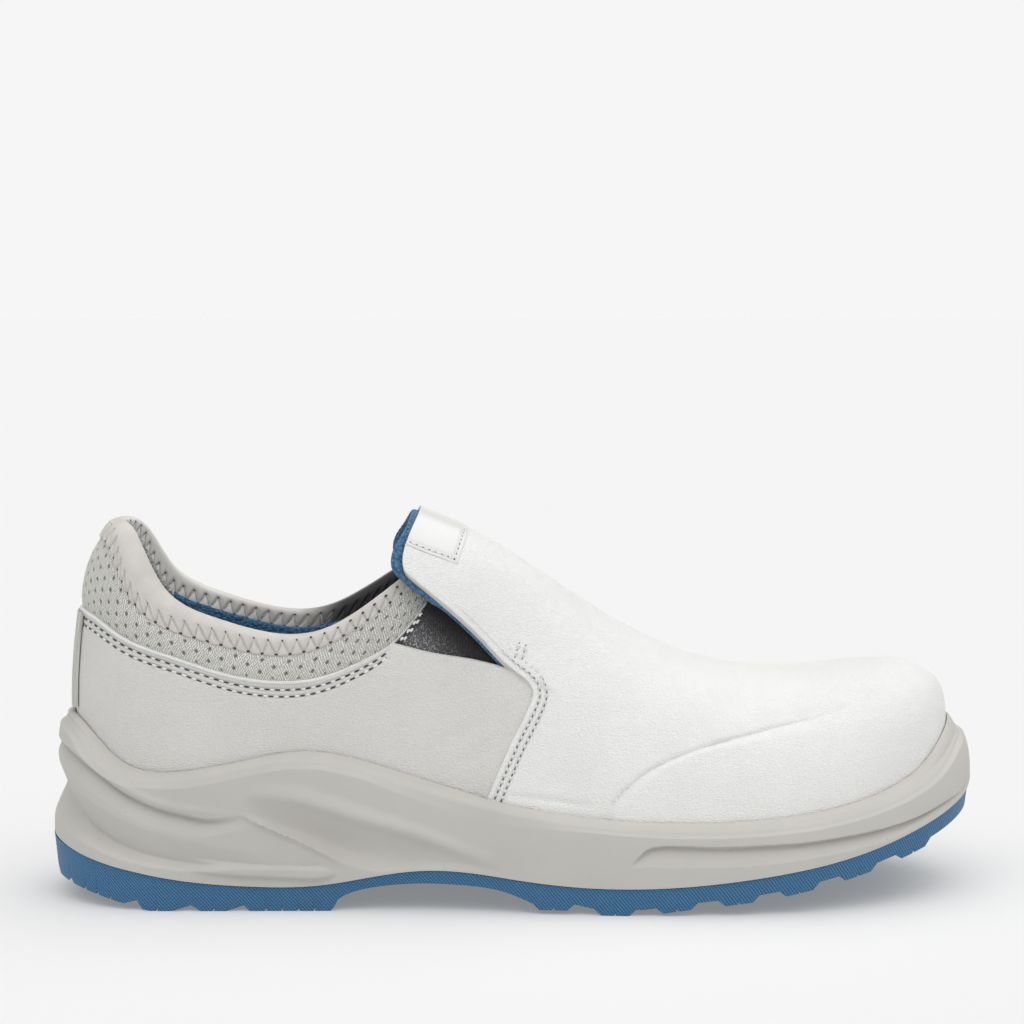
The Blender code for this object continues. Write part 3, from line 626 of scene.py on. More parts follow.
def elastic_finish():
    """Dark elastic web with a grain of small bright threads, with painted shade near the flap's edge, where
    the flap shades it.
    """
    finish = Finish("dark_elastic", DARK, 0.8)
    place = finish.space((1, 1, 0.6))
    threads = finish.noise(place, 0.42, 2.0)
    ribs = finish.stripes(finish.space(), 0.9, 1.5)
    finish.relief(finish.sums("ADD", threads, finish.sums("MULTIPLY", ribs, 0.5)), 0.3, 0.8)
    web = finish.tint(finish.ramp(threads, 0.5, 0.66), DARK, toned(DARK, 4.4))
    # Painted shade: darker near the flap's edge, standing in for the flap's shadow
    finish.tint(finish.mark("painted_shade"), web, toned(DARK, 0.08))
    return finish.material


def strip_finish():
    """Pale grey woven strip."""
    finish = Finish("heel_weave", KNIT, 0.7)
    weave = finish.stripes(finish.space(flat=True), 0.9)
    rows = finish.stripes(finish.space(turn=90.0, flat=True), 0.7)
    height = finish.sums("MAXIMUM", weave, rows)
    finish.relief(height, 0.25, 0.7)
    finish.tint(height, toned(KNIT, 0.5), toned(KNIT, 0.86))
    return finish.material


def edge_finish():
    """Cut edge of the leather: a pale fibrous core."""
    finish = Finish("cut_edge", CORE, 0.8)
    fibres = finish.noise(finish.space((0.3, 1, 1)), 0.5, 3.0)
    finish.relief(fibres, 0.12, 0.6)
    finish.tint(fibres, toned(CORE, 0.86), toned(CORE, 1.06))
    return finish.material


def label_finish():
    """Smooth coated patch."""
    finish = Finish("smooth_patch", PATCH_WHITE, 0.34, {"Coat Weight": 0.25, "Coat Roughness": 0.3})
    finish.relief(finish.noise(finish.space(), 0.5, 2.0), 0.04, 0.3)
    return finish.material


WHITE = (0.84, 0.84, 0.825)
PATCH_WHITE = (0.765, 0.765, 0.75)
# The same white leather painted darker and warmer for the quarters: painted shade of the upright sides
SHADED_QUARTER_WHITE = (0.705, 0.695, 0.67)
GREY = (0.545, 0.530, 0.493)
BLUE = (0.050, 0.190, 0.375)
KNIT = (0.74, 0.735, 0.68)
BAND = (0.62, 0.595, 0.555)
# Paler colour painted on the band's inner face near the heel: painted light
PAINTED_LIGHT_BAND = (0.80, 0.78, 0.74)
LINING_BLUE = (0.055, 0.185, 0.345)
HEEL_GREY = (0.60, 0.595, 0.565)
DARK = (0.10, 0.10, 0.104)
CORE = (0.66, 0.635, 0.60)

white_leather = leather_finish("white_leather", WHITE)
# Shaded copy of the white leather on the quarters: painted shade
shaded_quarter_leather = leather_finish("shaded_quarter_leather", SHADED_QUARTER_WHITE)
white_thread = thread_finish("white_thread", (0.82, 0.82, 0.80))
grey_thread = thread_finish("grey_thread", (0.52, 0.51, 0.48))
seam_thread = thread_finish("seam_thread", (0.76, 0.755, 0.74))
needle_hole = hole_finish("needle_hole", 0.06)
seam_hole = hole_finish("seam_hole", 0.13)
grey_sole = sole_finish()
blue_rubber = tread_finish()
knit_mesh = knit_finish()
soft_binding = band_finish()
blue_lining = lining_finish("blue_lining", LINING_BLUE, 1.0)
blue_footbed = lining_finish("blue_footbed", LINING_BLUE, 1.3)
grey_lining = lining_finish("grey_lining", HEEL_GREY, 0.9)
dark_elastic = elastic_finish()
heel_weave = strip_finish()
smooth_patch = label_finish()
cut_edge = edge_finish()


# Sole body

# Moulded relief of the flank: each trough's ends in x, the powers of its sides above and below its middle
# line, and rows of x, that line's height, its depth and its reach above and below. A rib has a negative
# depth. A side of power 0 is soft, and one of a higher power ends in a crease, the steeper the higher it is
TROUGHS = (
    ((-1, 74), 0.9, 0, (
        (0, 38.0, 4.2, 8.5, 14.0), (6, 31.0, 4.1, 9.5, 9.0), (12, 25.4, 4.0, 10.5, 4.8),
        (18.5, 21.8, 3.7, 10.5, 3.6), (28, 18.6, 3.1, 9.5, 3.2), (38, 16.4, 2.6, 8.5, 2.8),
        (48, 15.2, 1.9, 7.0, 2.4), (60, 15.2, 0.9, 4.5, 1.9), (74, 14.8, 0.0, 4.0, 1.6),
    )),
    ((-1, 66), 2, 0.8, (
        (0, 49.5, 1.6, 1.3, 5.0), (10, 45.7, 2.0, 1.3, 5.5), (26, 36.0, 2.1, 1.3, 5.0),
        (43, 29.9, 2.1, 1.3, 5.0), (52, 28.2, 1.8, 1.3, 4.5), (59, 28.2, 0.9, 1.6, 3.0),
        (66, 29.0, 0.0, 2.0, 3.0),
    )),
    ((2, 62), 0, 0, (
        (2, 51.8, 0.0, 1.6, 1.6), (12, 47.6, -0.5, 1.7, 1.7), (26, 39.3, -0.6, 1.8, 1.8),
        (43, 33.0, -0.5, 1.8, 1.8), (62, 31.0, 0.0, 1.8, 1.8),
    )),
    ((63, 148), 0, 2, (
        (63, 32.6, 0.0, 5.0, 1.6), (72, 28.8, 1.7, 8.0, 1.9), (84, 23.8, 3.2, 11.5, 2.2),
        (92, 20.6, 3.7, 13.0, 3.0), (101, 18.8, 3.5, 12.0, 5.0), (112, 18.4, 2.8, 10.0, 6.0),
        (127, 16.4, 1.2, 7.0, 4.0), (148, 13.0, 0.0, 5.0, 3.0),
    )),
    ((63, 147), 0, 0, (
        (63, 36.8, 0.0, 4.0, 4.0), (72, 37.0, -0.6, 4.5, 4.2), (83, 35.2, -1.1, 5.0, 4.2),
        (100, 29.9, -1.2, 5.0, 4.2), (118, 24.6, -1.0, 4.5, 4.0), (140, 16.8, -0.4, 4.0, 3.6),
        (147, 14.6, 0.0, 4.0, 3.6),
    )),
    ((62, 97), 1, 1, (
        (62, 31.2, 0.0, 0.8, 1.2), (67, 29.0, -0.8, 0.8, 1.5), (83, 22.0, -1.0, 0.8, 1.8),
        (90, 18.4, -0.8, 0.8, 1.8), (97, 14.6, 0.0, 0.8, 1.8),
    )),
    ((46, 93), 5, 5, (
        (46, 15.0, 0.0, 2.0, 2.0), (58, 13.7, -1.1, 2.1, 2.1), (84, 12.4, -1.6, 2.2, 2.2),
        (90, 12.3, -1.4, 1.8, 1.8), (93, 12.2, 0.0, 0.6, 0.6),
    )),
    ((184.5, 301), 2, 1, (
        (184.5, 15.6, 0.0, 0.8, 0.8), (187, 17.9, 1.0, 0.8, 2.4), (190, 20.4, 1.7, 0.8, 4.7),
        (193, 21.3, 2.0, 0.8, 5.7), (207, 21.2, 2.1, 0.9, 5.7), (225, 21.5, 2.1, 0.9, 5.3),
        (238, 22.0, 2.1, 0.9, 4.5), (252, 23.2, 2.0, 0.9, 3.9), (266, 24.9, 1.8, 0.9, 3.5),
        (278, 27.4, 1.5, 0.9, 3.0), (289, 30.8, 1.0, 0.9, 2.4), (296, 34.2, 0.5, 0.9, 2.2),
        (301, 40.5, 0.0, 0.9, 2.0),
    )),
)
FLANK = [(*kind, table("x  z  depth  above  below", *rows)) for *kind, rows in TROUGHS]
CHAMFER = line(
    (5.7, 54.0), (12, 51.8), (18.5, 46.8), (25, 42.0), (33, 39.2), (45, 39.0), (66, 43.0), (82, 45.0),
    (93, 43.8), (104, 40.4), (119, 34.9), (134, 30.2), (149, 27.9), (163, 26.7), (183, 25.8), (223, 26.2),
    (255, 29.8), (272, 34.6), (280, 38.6), (286, 43.4), (291, 48.0),
)
# Shares of the wall's way inwards below its bend, up to the lip's band and in that band
HEEL_INWARD, SIDE_INWARD, TOE_INWARD = (0.45, 0.30, 0.25), (0.24, 0.26, 0.50), (0.42, 0.36, 0.22)
INWARD_POWER, BAND_POWER, RELIEF_RISE = 2.4, 1.3, 3.0
HEEL_TUCK, HEEL_TUCK_END = 0.7, 0.05
LIP_BAND, TOE_LIP_BAND, LIP_GROOVE, LEAST_STEP = 3.0, 1.5, 0.7, 1.0
SOLE_STATIONS, FLANK_ROWS = (64, 250, 110), (80, 7, 9)
RIM_SHARES, CUP_SHARES = (0.1, 0.25, 0.45, 0.65, 0.8, 0.9), (0.9, 0.4, 0.0)
LIP_STEP_START, LIP_STEP_END = 0.06, 0.02
SEAM_AT_LIP, CUP_STEP_START, CUP_STEP_END = (140.2, 35.6), 0.022, 0.002
LEDGE_AT_LIP, LEDGE_LEAD = 30.0, 1.5


def side_profile(share, power):
    """Depth of a trough's side, from 1 in its middle to 0 at its reach."""
    share = np.clip(share, 0, 1)
    return 1 - ease(share, 0, 1) if power == 0 else 1 - share**power


def flank_relief(x, z):
    """Depth of the sole's moulded troughs and ribs at a point of its flank."""
    depth = 0
    for (start, end), power_above, power_below, trough in FLANK:
        away = z - trough["z"](x)
        above = side_profile(away / trough["above"](x), power_above)
        below = side_profile(-away / trough["below"](x), power_below)
        depth = depth + ((x > start) & (x < end)) * trough["depth"](x) * np.where(away > 0, above, below)
    return depth


def leather_outside(s):
    """Outer offset of the leather at the lip: the quarter, the vamp over it and the ledge over the toe."""
    seam = station_at(*SEAM_AT_LIP, LEATHER)
    vamp = ease(s, seam - CUP_STEP_START, seam - CUP_STEP_END)
    ledge = ease(station_x(s, LEDGE_AT_LIP, VAMP_OUTER) + LEDGE_LEAD, *TOE_LEDGE_RISE)
    return LEATHER + (VAMP_OUTER - LEATHER) * vamp + TOE_LEDGE_STEP * ledge


def lip_outside(s):
    """Offset that the lip's width is counted from, in one longer step along the foot."""
    seam = station_at(*SEAM_FOOT, LEATHER)
    step = ease(s, seam - LIP_STEP_START, seam - LIP_STEP_END)
    return LEATHER + (VAMP_OUTER + TOE_LEDGE_STEP - LEATHER) * step


def lip_drop(s):
    """How far the lip's outer edge lies below its inner one, most at the toe."""
    return LIP_DROP + TOE_LIP_DROP * ease(s, *TOE_LIP_SPAN)


def flank_levels(s, x, lip):
    """Heights at which the outer wall starts, bends, bends again and reaches the lip's outer edge."""
    joint, top = JOINT(x) + GAP / 2, lip - lip_drop(s)
    band = np.minimum(lip - LIP_BAND - TOE_LIP_BAND * ease(s, *TOE_LIP_SPAN), top - LEAST_STEP)
    return joint, np.minimum(CHAMFER(x), band - LEAST_STEP), band, top


def flank(s, side, cup, z, lip):
    """A point of the outer wall, which leaves the outline at the joint and bends inwards to the lip."""
    x = plan(s, side, 0.0)[0]
    joint, bend, band, top = flank_levels(s, x, lip)
    heel, toe = 1 - ease(s, 0.0, HEEL_TUCK_END), ease(s, *TOE_LIP_SPAN)
    shares = zip(HEEL_INWARD, SIDE_INWARD, TOE_INWARD)
    low, middle, high = (b + (a - b) * heel + (c - b) * toe for a, b, c in shares)
    inward = low * np.clip((z - joint) / (bend - joint), 0, 1) ** INWARD_POWER
    inward = inward + middle * np.clip((z - bend) / (band - bend), 0, 1)
    inward = inward + high * np.clip((z - band) / (top - band), 0, 1) ** BAND_POWER
    sunk = -flank_relief(x, z) * ease(z - joint, 0.0, RELIEF_RISE) - HEEL_TUCK * heel
    low_x, low_y = plan(s, side, sunk)
    lip_edge = wall_at(s, side, lip, cup + LIP + sunk)
    out_x = low_x + (lip_edge[..., 0] - low_x) * inward
    out_y = low_y + (lip_edge[..., 1] - low_y) * inward
    return np.stack([out_x, out_y, z + 0 * out_x], axis=-1)


def make_sole_body():
    """Grey sole with its waves and grooves, rounded lip and the cup that holds the upper."""
    s = sole_stations(*SOLE_STATIONS)
    cup, outer = leather_outside(s) + GAP / 3, lip_outside(s) + GAP
    floor = SECTIONS["seat"](s) - GAP
    outline = []
    for side in SIDES:
        x = plan(s, side, 0.0)[0]
        lip = height_on(s, LIP_LINE, outer)
        levels = flank_levels(s, x, lip)
        rows = [levels[0]]
        for low, high, count in zip(levels, levels[1:], FLANK_ROWS):
            rows += [low + (high - low) * share for share in spread(count)[1:]]
        outside = [flank(s, side, outer, z, lip) for z in rows]
        rim = []
        for share in RIM_SHARES:
            rise = lip_drop(s) * math.sin(share / RIM_SHARES[-1] * math.pi / 2)
            rim.append(wall_at(s, side, levels[-1] + rise, cup + (outer + LIP - cup) * (1 - share)))
        rim.append(wall_at(s, side, lip - LIP_GROOVE, cup))
        for row in rim:
            row[-1, 2] = row[-2, 2]
        inside = [wall_at(s, side, floor + (lip - floor) * share, cup) for share in CUP_SHARES]
        inside[-1][:, 2] = floor
        outline.append(outside + rim + inside)
    ring = outline[0] + across(outline[0][-1], outline[1][-1], 3) + outline[1][::-1]
    ring += across(outline[1][0], outline[0][0], 3)
    body = ring_piece("sole_body", np.stack(ring, axis=1), [grey_sole], sharp=50)
    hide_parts("midsole")


# Tread

HEEL_BEVEL, HEEL_BEVEL_END = 7.8, 33.5
FORE_LIFT, FORE_LIFT_SPAN = 1.4, (166.0, 175.0)
TOE_SPRING_START = 188.0
TOE_SPRING = line(
    (176, 0), (TOE_SPRING_START, 0), (199, 1.5), (218.4, 3.7), (237.7, 6.7), (257, 10.8), (276.3, 16.0),
    (285, 18.8), (292, 21.5), (300, 24.9),
)
ARCH = line((92.7, 3.6), (95.6, 5.3), (98, 6.2), (106, 7.9), (119, 9.0), (132, 8.7), (146, 6.6), (154, 3.4))
ARCH_START, ARCH_END = 92.7, 154.0
HEEL_LUG = (2.6, 90.5)
HEEL_NOTCHES = (
    (6.0, 6.9, 7.9, 1.2), (24.9, 29.3, 31.1, 2.3), (40.3, 46.5, 49.6, 1.9), (57.5, 63.2, 65.0, 1.85),
)
FORE_LUG_FIRST, FORE_LUG_PITCH, FORE_LUG_LENGTH, FORE_LUG_COUNT = 160.5, 19.3, 8.6, 7
LUG_SLOPE, FORE_LUG_SHARE = 2.2, 0.66
TREAD_INSET, LUG_TAPER = -0.6, -0.9
CHANNEL, CHANNEL_HALF, CHANNEL_SIDE = 0.47, 0.05, 0.02
SIPE_PITCH, SIPE_WIDTH, SIPE_DEPTH, SIPE_WALL = 4.8, 0.6, 0.8, 0.02
TREAD_STEP, TREAD_ENDS = 0.7, (0.0, 0.3, 297.0, 299.3, LENGTH)
TREAD_SIDE_ROWS, TREAD_COLUMNS = 6, 11


def lugs():
    """Start and end of each lug's foot."""
    first = FORE_LUG_FIRST + FORE_LUG_PITCH * np.arange(FORE_LUG_COUNT)
    return [HEEL_LUG] + [(x - FORE_LUG_LENGTH / 2, x + FORE_LUG_LENGTH / 2) for x in first]


def sipes():
    """Middles of the fine cuts across the lugs."""
    ends = [notch[k] for notch in HEEL_NOTCHES for k in (0, 2)][1:] + [HEEL_LUG[1]]
    feet = list(zip(ends[::2], ends[1::2])) + lugs()[1:]
    cuts = []
    for start, end in feet:
        cuts += list(spread(max(1, round((end - start) / SIPE_PITCH) - 1) + 2, start, end)[1:-1])
    return cuts


def ground(x):
    """Height of the lugs' feet: bevelled at the heel, a little raised after the arch, rising to the toe."""
    heel = HEEL_BEVEL * np.clip(1 - x / HEEL_BEVEL_END, 0, 1)
    fore = np.where(x >= ARCH_END, FORE_LIFT * (1 - ease(x, *FORE_LIFT_SPAN)), 0.0)
    return heel + fore + np.where(x < TOE_SPRING_START, 0.0, TOE_SPRING(x))


def root(x):
    """Height of the tread between the lugs, less deep under the forefoot than at the heel."""
    plain = ground(x) + LUG_DEPTH * np.where(x < ARCH_END, 1.0, FORE_LUG_SHARE)
    return np.where((x >= ARCH_START) & (x < ARCH_END), np.maximum(ARCH(x), plain), plain)


def foot_share(x):
    """1 on the lugs' feet, 0 between the lugs and part of it on their slopes, notches and cuts."""
    share = 0 * x
    for start, end in lugs():
        rising = (x - start + LUG_SLOPE) / LUG_SLOPE
        falling = (end + LUG_SLOPE - x) / LUG_SLOPE
        share = np.maximum(share, np.clip(np.minimum(rising, falling), 0, 1))
    for start, apex, end, depth in HEEL_NOTCHES:
        notch = np.minimum((x - start) / (apex - start), (end - x) / (end - apex))
        share = share - depth / LUG_DEPTH * np.clip(notch, 0, 1)
    for middle in sipes():
        share = share - SIPE_DEPTH / LUG_DEPTH * (np.abs(x - middle) < SIPE_WIDTH / 2)
    return np.clip(share, 0, 1)


def tread_stations():
    """Stations at every break of the tread, with steps between them."""
    breaks = [*TREAD_ENDS, ARCH_START, ARCH_END]
    for start, end in lugs():
        breaks += [start - LUG_SLOPE, start, end, end + LUG_SLOPE]
    for notch in HEEL_NOTCHES:
        breaks += notch[:3]
    for middle in sipes():
        breaks += [middle + k * SIPE_WIDTH / 2 + d for k in (-1, 1) for d in (-SIPE_WALL, SIPE_WALL)]
    breaks = sorted(breaks)
    parts = [spread(2 + int((b - a) / TREAD_STEP), a, b)[:-1] for a, b in zip(breaks, breaks[1:])]
    return np.concatenate(parts + [[LENGTH]])


def make_tread():
    """Blue tread: ribbed sides, cross lugs with fine cuts, two channels and a thin arch."""
    x = tread_stations()
    s = x / LENGTH
    base = root(x)
    sole = base + (ground(x) - base) * foot_share(x)
    edges = []
    for side in SIDES:
        up_x, up_y = plan(s, side, TREAD_INSET)
        down_x, down_y = plan(s, side, TREAD_INSET + LUG_TAPER)
        top = JOINT(up_x) - GAP / 2
        edges.append((np.stack([up_x, up_y, top], -1), np.stack([down_x, down_y, sole], -1)))
    (up_a, down_a), (up_b, down_b) = edges
    halves, walls = np.array([-1, -1, 1, 1]), np.array([-1, 1, -1, 1])
    channel = CHANNEL + halves * CHANNEL_HALF + walls * CHANNEL_SIDE / 2
    shares = np.sort(np.concatenate([spread(TREAD_COLUMNS, -1, 1)[1:-1], channel, -channel]))
    bottom = []
    for share in shares:
        point = down_a + (down_b - down_a) * (1 + share) / 2
        in_channel = np.abs(np.abs(share) - CHANNEL) < CHANNEL_HALF
        point[:, 2] = np.where(in_channel, base, sole)
        bottom.append(point)
    ring = [up_a] + across(up_a, down_a, TREAD_SIDE_ROWS) + [down_a] + bottom
    ring += [down_b] + across(down_b, up_b, TREAD_SIDE_ROWS) + [up_b] + across(up_b, up_a, 3)
    rings = np.stack(ring, axis=1)
    count = TREAD_SIDE_ROWS + 2
    side_mark = np.zeros(len(ring))
    side_mark[:count] = side_mark[count + len(bottom) : 2 * count + len(bottom)] = 1.0
    travelled = along(up_a)[:, None] + 0 * rings[..., 0]
    uv = np.where(side_mark[:, None], np.stack([travelled, rings[..., 2]], -1), rings[..., :2])
    marks = {"side": np.tile(side_mark, len(x))}
    tread = ring_piece("tread", rings, [blue_rubber], uv=uv, marks=marks, sharp=30)
    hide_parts("outsole")


FOOTBED_EDGE, FOOTBED_POWER = 2.6, 8
FOOTBED_STATIONS, FOOTBED_COLUMNS = (40, 90, 50), 33


def make_footbed():
    """Blue footbed with a turned-up edge."""
    s = sole_stations(*FOOTBED_STATIONS)
    floor = SECTIONS["seat"](s)
    low = [wall_at(s, side, floor, -GAP) for side in SIDES]
    high = [wall_at(s, side, floor + INSOLE, -GAP) for side in SIDES]
    top = []
    for share in spread(FOOTBED_COLUMNS):
        point = high[0] + (high[1] - high[0]) * share
        edge = (2 * abs(share - 0.5)) ** FOOTBED_POWER * closure(s)
        point[:, 2] += FOOTBED_EDGE * (edge - 0.25)
        top.append(point)
    ring = [low[0]] + top + [low[1]] + across(low[1], low[0], 3)
    bed = ring_piece("footbed", np.stack(ring, axis=1), [blue_footbed])
    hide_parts("insole")


# Leather

# Soft folds placed on the outer side: ends in the side view, depth of the trough and its full width
FOLDS = (
    ((139.0, 37.4), (178.0, 32.6), 0.45, 3.0),
    ((146.0, 62.0), (118.0, 47.0), 0.16, 7.0),
    ((150.0, 57.0), (128.0, 43.0), 0.14, 6.0),
    ((166.0, 74.0), (190.0, 66.0), 0.18, 9.0),
    ((172.0, 62.0), (196.0, 60.0), 0.16, 9.0),
    ((30.0, 62.0), (40.0, 82.0), 0.20, 12.0),
    ((206.0, 66.0), (228.0, 60.5), 0.20, 8.0),
)
FOLD_LENGTH, FOLD_CLEAR = 1.3, (2.0, 8.0)
EDGE_ROLL, QUARTER_ROLL = 0.45, 0.7
STITCH_GROOVE, STITCH_GROOVE_WIDTH = 0.45, 2.0
QUARTER_ROWS = (2.3, 4.4)
SEAM_ROWS = (2.2, 4.3)
FLAP_ROW, FLAP_GROOVE, FLAP_GROOVE_WIDTH = 1.9, 0.4, 0.9
PIPING_FOLD, PIPING_FOLD_SPAN, UNDER_CUFF = 0.4, (1.2, 1.7), (-0.5, 1.0)
QUARTER_STEP, QUARTER_INSIDE_TOP = 1.0, 0.5
QUARTER_NEAR = np.concatenate([[0.0, 0.15, 0.35, 0.6, 0.85], np.arange(1.15, 9.2, 0.35)])
QUARTER_OUTSIDE_ROWS, QUARTER_INSIDE_ROWS = 52, 16
LEDGE_WIDTH, LEDGE_WIDER = 1.9, ((2.5, (205, 240)), (9.0, (236, 272)))
CREASE, CREASE_LESS, CREASE_WIDTH = 1.0, 0.35, 1.0
CREASE_LESS_SPAN, CREASE_END = (186, 205), (222, 260)
SEAM_FADE, FLAP_ROW_FADE = 0.05, (0.50, 0.53)
VAMP_TURNS = two_spreads(122, 26, 0, 0.72, 1.0)
VAMP_NEAR = np.concatenate([[0.0, 0.25, 0.5, 0.8], np.arange(1.15, 15.0, 0.4)])
VAMP_REST, VAMP_REST_POWER, VAMP_INSIDE_STEP = 205, 1.6, 9
EDGE_COUNT, FINE_EDGE_COUNT, EDGE_REACH, FAR = 400, 900, 10, 99.0


def folds(points):
    """Depth of the soft folds at points of the leather."""
    x, z = points[..., 0], points[..., 2]
    depth = 0 * x
    for (x0, z0), (x1, z1), deep, width in FOLDS:
        length = math.hypot(x1 - x0, z1 - z0)
        share = ((x - x0) * (x1 - x0) + (z - z0) * (z1 - z0)) / length**2
        away = ((x - x0) * (z1 - z0) - (z - z0) * (x1 - x0)) / length
        depth = depth + deep * bell(away, width) * bell(share - 0.5, FOLD_LENGTH)
    return depth


def roll(distance, radius):
    """How far a rounded edge drops back near its end."""
    inside = np.clip(1 - distance / radius, 0, 1)
    return radius * (1 - np.sqrt(1 - inside**2))


def grooves(distance, rows):
    """Depth of the leather under rows of stitches at distances from its edge."""
    return STITCH_GROOVE * sum(bell(distance - row, STITCH_GROOVE_WIDTH) for row in rows)


def quarter_top(x):
    """Top edge of the quarters: under the cuff, then along the gore."""
    return np.minimum(PIPING(x), GORE_EDGE(x))


def make_quarters():
    """Quarters round the heel, with a folded top edge under the cuff and stitch grooves below it."""
    front = station_at(*QUARTER_FRONT, LEATHER)
    s, side, _ = horseshoe(front, quarter_top, LEATHER, QUARTER_STEP)
    top, base = height_on(s, quarter_top, LEATHER), SECTIONS["seat"](s)
    x = station_x(s, top, LEATHER)
    under_cuff = ease(GORE_EDGE(x) - PIPING(x), *UNDER_CUFF)
    last = QUARTER_NEAR[-1]
    levels = [(below, top - below) for below in QUARTER_NEAR]
    rest = spread(QUARTER_OUTSIDE_ROWS)[1:]
    levels += [(last, top - last - (top - last - base) * share) for share in rest]
    outside = []
    for below, z in levels:
        fold = PIPING_FOLD * (1 - ease(below, *PIPING_FOLD_SPAN)) - grooves(below, QUARTER_ROWS)
        offset = LEATHER + under_cuff * fold - roll(below, QUARTER_ROLL)
        outside.append(wall_at(s, side, z, offset - folds(wall_at(s, side, z, LEATHER))))
    inside = [wall_at(s, side, top + (base - top) * share, 0.0) for share in spread(QUARTER_INSIDE_ROWS)]
    inside[0] = wall_at(s, side, top, QUARTER_INSIDE_TOP)
    ring = outside[::-1] + inside
    inner = np.arange(len(ring)) >= len(outside)
    rings, finishes = np.stack(ring, axis=1), [shaded_quarter_leather, blue_lining]
    quarters = ring_piece("quarters", rings, finishes, capped=True, inner=inner, sharp=60)
    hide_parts("upper")


def vamp_edge(fine):
    """The vamp's rear edge in the side view, at places counted along its points."""
    return [spline(np.arange(len(VAMP_EDGE)), values)(fine) for values in zip(*VAMP_EDGE)]


def vamp_start():
    """Station at which the vamp starts, for each turn round the section."""
    fine = spread(EDGE_COUNT, 0, len(VAMP_EDGE) - 1)
    x, z = vamp_edge(fine)
    s = station_at(x, z, VAMP_OUTER)
    turn = np.maximum.accumulate(turn_at(s, z, VAMP_OUTER) + 1e-9 * fine)
    return lambda t: np.interp(t, turn, s)


edge_station = vamp_start()


def flap_flare(s, turn):
    """How far the flap's free sides stand off the foot."""
    throat, tip = station_at(*THROAT, VAMP_OUTER), station_at(*FLAP_TIP, VAMP_OUTER)
    free = np.clip(np.cos(turn * math.pi / 2), 0, 1)
    return FLAP_FLARE * ease(throat - s, 0, throat - tip) * free**FLARE_POWER


def toe_ledge(points):
    """Relief of the toe cap's edge: a crease, then a step out, crisp at the sole and fading to the toe."""
    x, z = points[..., 0], points[..., 2]
    slope = TOE_LEDGE(x + 0.5) - TOE_LEDGE(x - 0.5)
    away = (TOE_LEDGE(x) - z) / np.sqrt(1 + slope**2)
    width = LEDGE_WIDTH + sum(more * ease(x, *span) for more, span in LEDGE_WIDER)
    crease = (CREASE - CREASE_LESS * ease(x, *CREASE_LESS_SPAN)) * (1 - ease(x, *CREASE_END))
    rise = 1 - (1 - np.clip(away / width, 0, 1)) ** 2
    below = -crease + (TOE_LEDGE_STEP + crease) * rise
    above = -crease * np.clip(1 + away / CREASE_WIDTH, 0, 1) ** 2
    return np.where(away > 0, below, above) * ease(x, *TOE_LEDGE_RISE)


def over_the_ridge(turns):
    """Sides and turns from the outer side's first turn over the ridge to the inner side."""
    sides = np.concatenate([np.full(len(turns), OUTER_SIDE), np.full(len(turns) - 1, INNER_SIDE)])
    return sides[:, None], np.concatenate([turns, turns[-2::-1]])[:, None]


def vamp_point(s, side, turn, offset):
    """A point of the vamp with its flared flap."""
    return wall(s, side, turn, offset, flap_flare(s, turn))


def edge_distance(points, edge):
    """Distance of points from a line of points."""
    tree = KDTree(len(edge))
    for k, point in enumerate(edge):
        tree.insert(point, k)
    tree.balance()
    flat = [tree.find(point)[2] for point in points.reshape(-1, 3)]
    return np.array(flat).reshape(points.shape[:-1])


def vamp_grid():
    """Stations, sides, turns and points of the vamp's outer face, and their distance from its rear edge."""
    side, turn = over_the_ridge(VAMP_TURNS)
    start = edge_station(turn)
    near = start + VAMP_NEAR / LENGTH
    rest = near[:, -1:] + (1 - near[:, -1:]) * (1 - (1 - spread(VAMP_REST)[1:]) ** VAMP_REST_POWER)
    s = np.concatenate([near, rest], axis=1)
    turn = turn + 0 * s
    flat = vamp_point(s, side, turn, VAMP_OUTER)
    reach = len(VAMP_NEAR) + EDGE_REACH
    distance = np.full(s.shape, FAR)
    edge_side, edge_turn = over_the_ridge(spread(FINE_EDGE_COUNT))
    edge = vamp_point(edge_station(edge_turn), edge_side, edge_turn, VAMP_OUTER)[:, 0]
    distance[:, :reach] = edge_distance(flat[:, :reach], edge)
    return s, side + 0 * s, turn, flat, distance


vamp_s, vamp_side, vamp_turn, vamp_flat, vamp_distance = vamp_grid()
THROAT_TURN = float(turn_at(station_at(*THROAT, VAMP_OUTER), THROAT[1], VAMP_OUTER))


def make_vamp():
    """Vamp with its flap: a cut rear edge, stitch grooves, the toe cap's ledge and soft folds."""
    s, side, turn, distance = vamp_s, vamp_side, vamp_turn, vamp_distance
    on_seam = 1 - ease(turn, THROAT_TURN, THROAT_TURN + SEAM_FADE)
    on_flap = (1 - on_seam) * (1 - ease(turn, *FLAP_ROW_FADE))
    offset = VAMP_OUTER + toe_ledge(vamp_flat) - roll(distance, EDGE_ROLL)
    offset = offset - on_seam * grooves(distance, SEAM_ROWS)
    offset = offset - on_flap * FLAP_GROOVE * bell(distance - FLAP_ROW, FLAP_GROOVE_WIDTH)
    offset = offset - folds(vamp_flat) * ease(distance, *FOLD_CLEAR)
    outside = vamp_point(s, side, turn, offset)
    pick = np.unique(np.append(np.arange(0, s.shape[1], VAMP_INSIDE_STEP), s.shape[1] - 1))
    inside = vamp_point(s, side, turn, VAMP_INNER + toe_ledge(vamp_flat))[:, pick]
    rings = np.concatenate([outside[:, ::-1], inside], axis=1)
    edge = outside.shape[1] - 1
    place = np.arange(rings.shape[1])
    inner = np.where(place > edge + 2, 1, np.where(place == edge, 2, 0))
    finishes = [white_leather, blue_lining, cut_edge]
    vamp = ring_piece("vamp", rings, finishes, closed=False, capped=True, inner=inner, sharp=50)
    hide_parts("upper")


# Collar

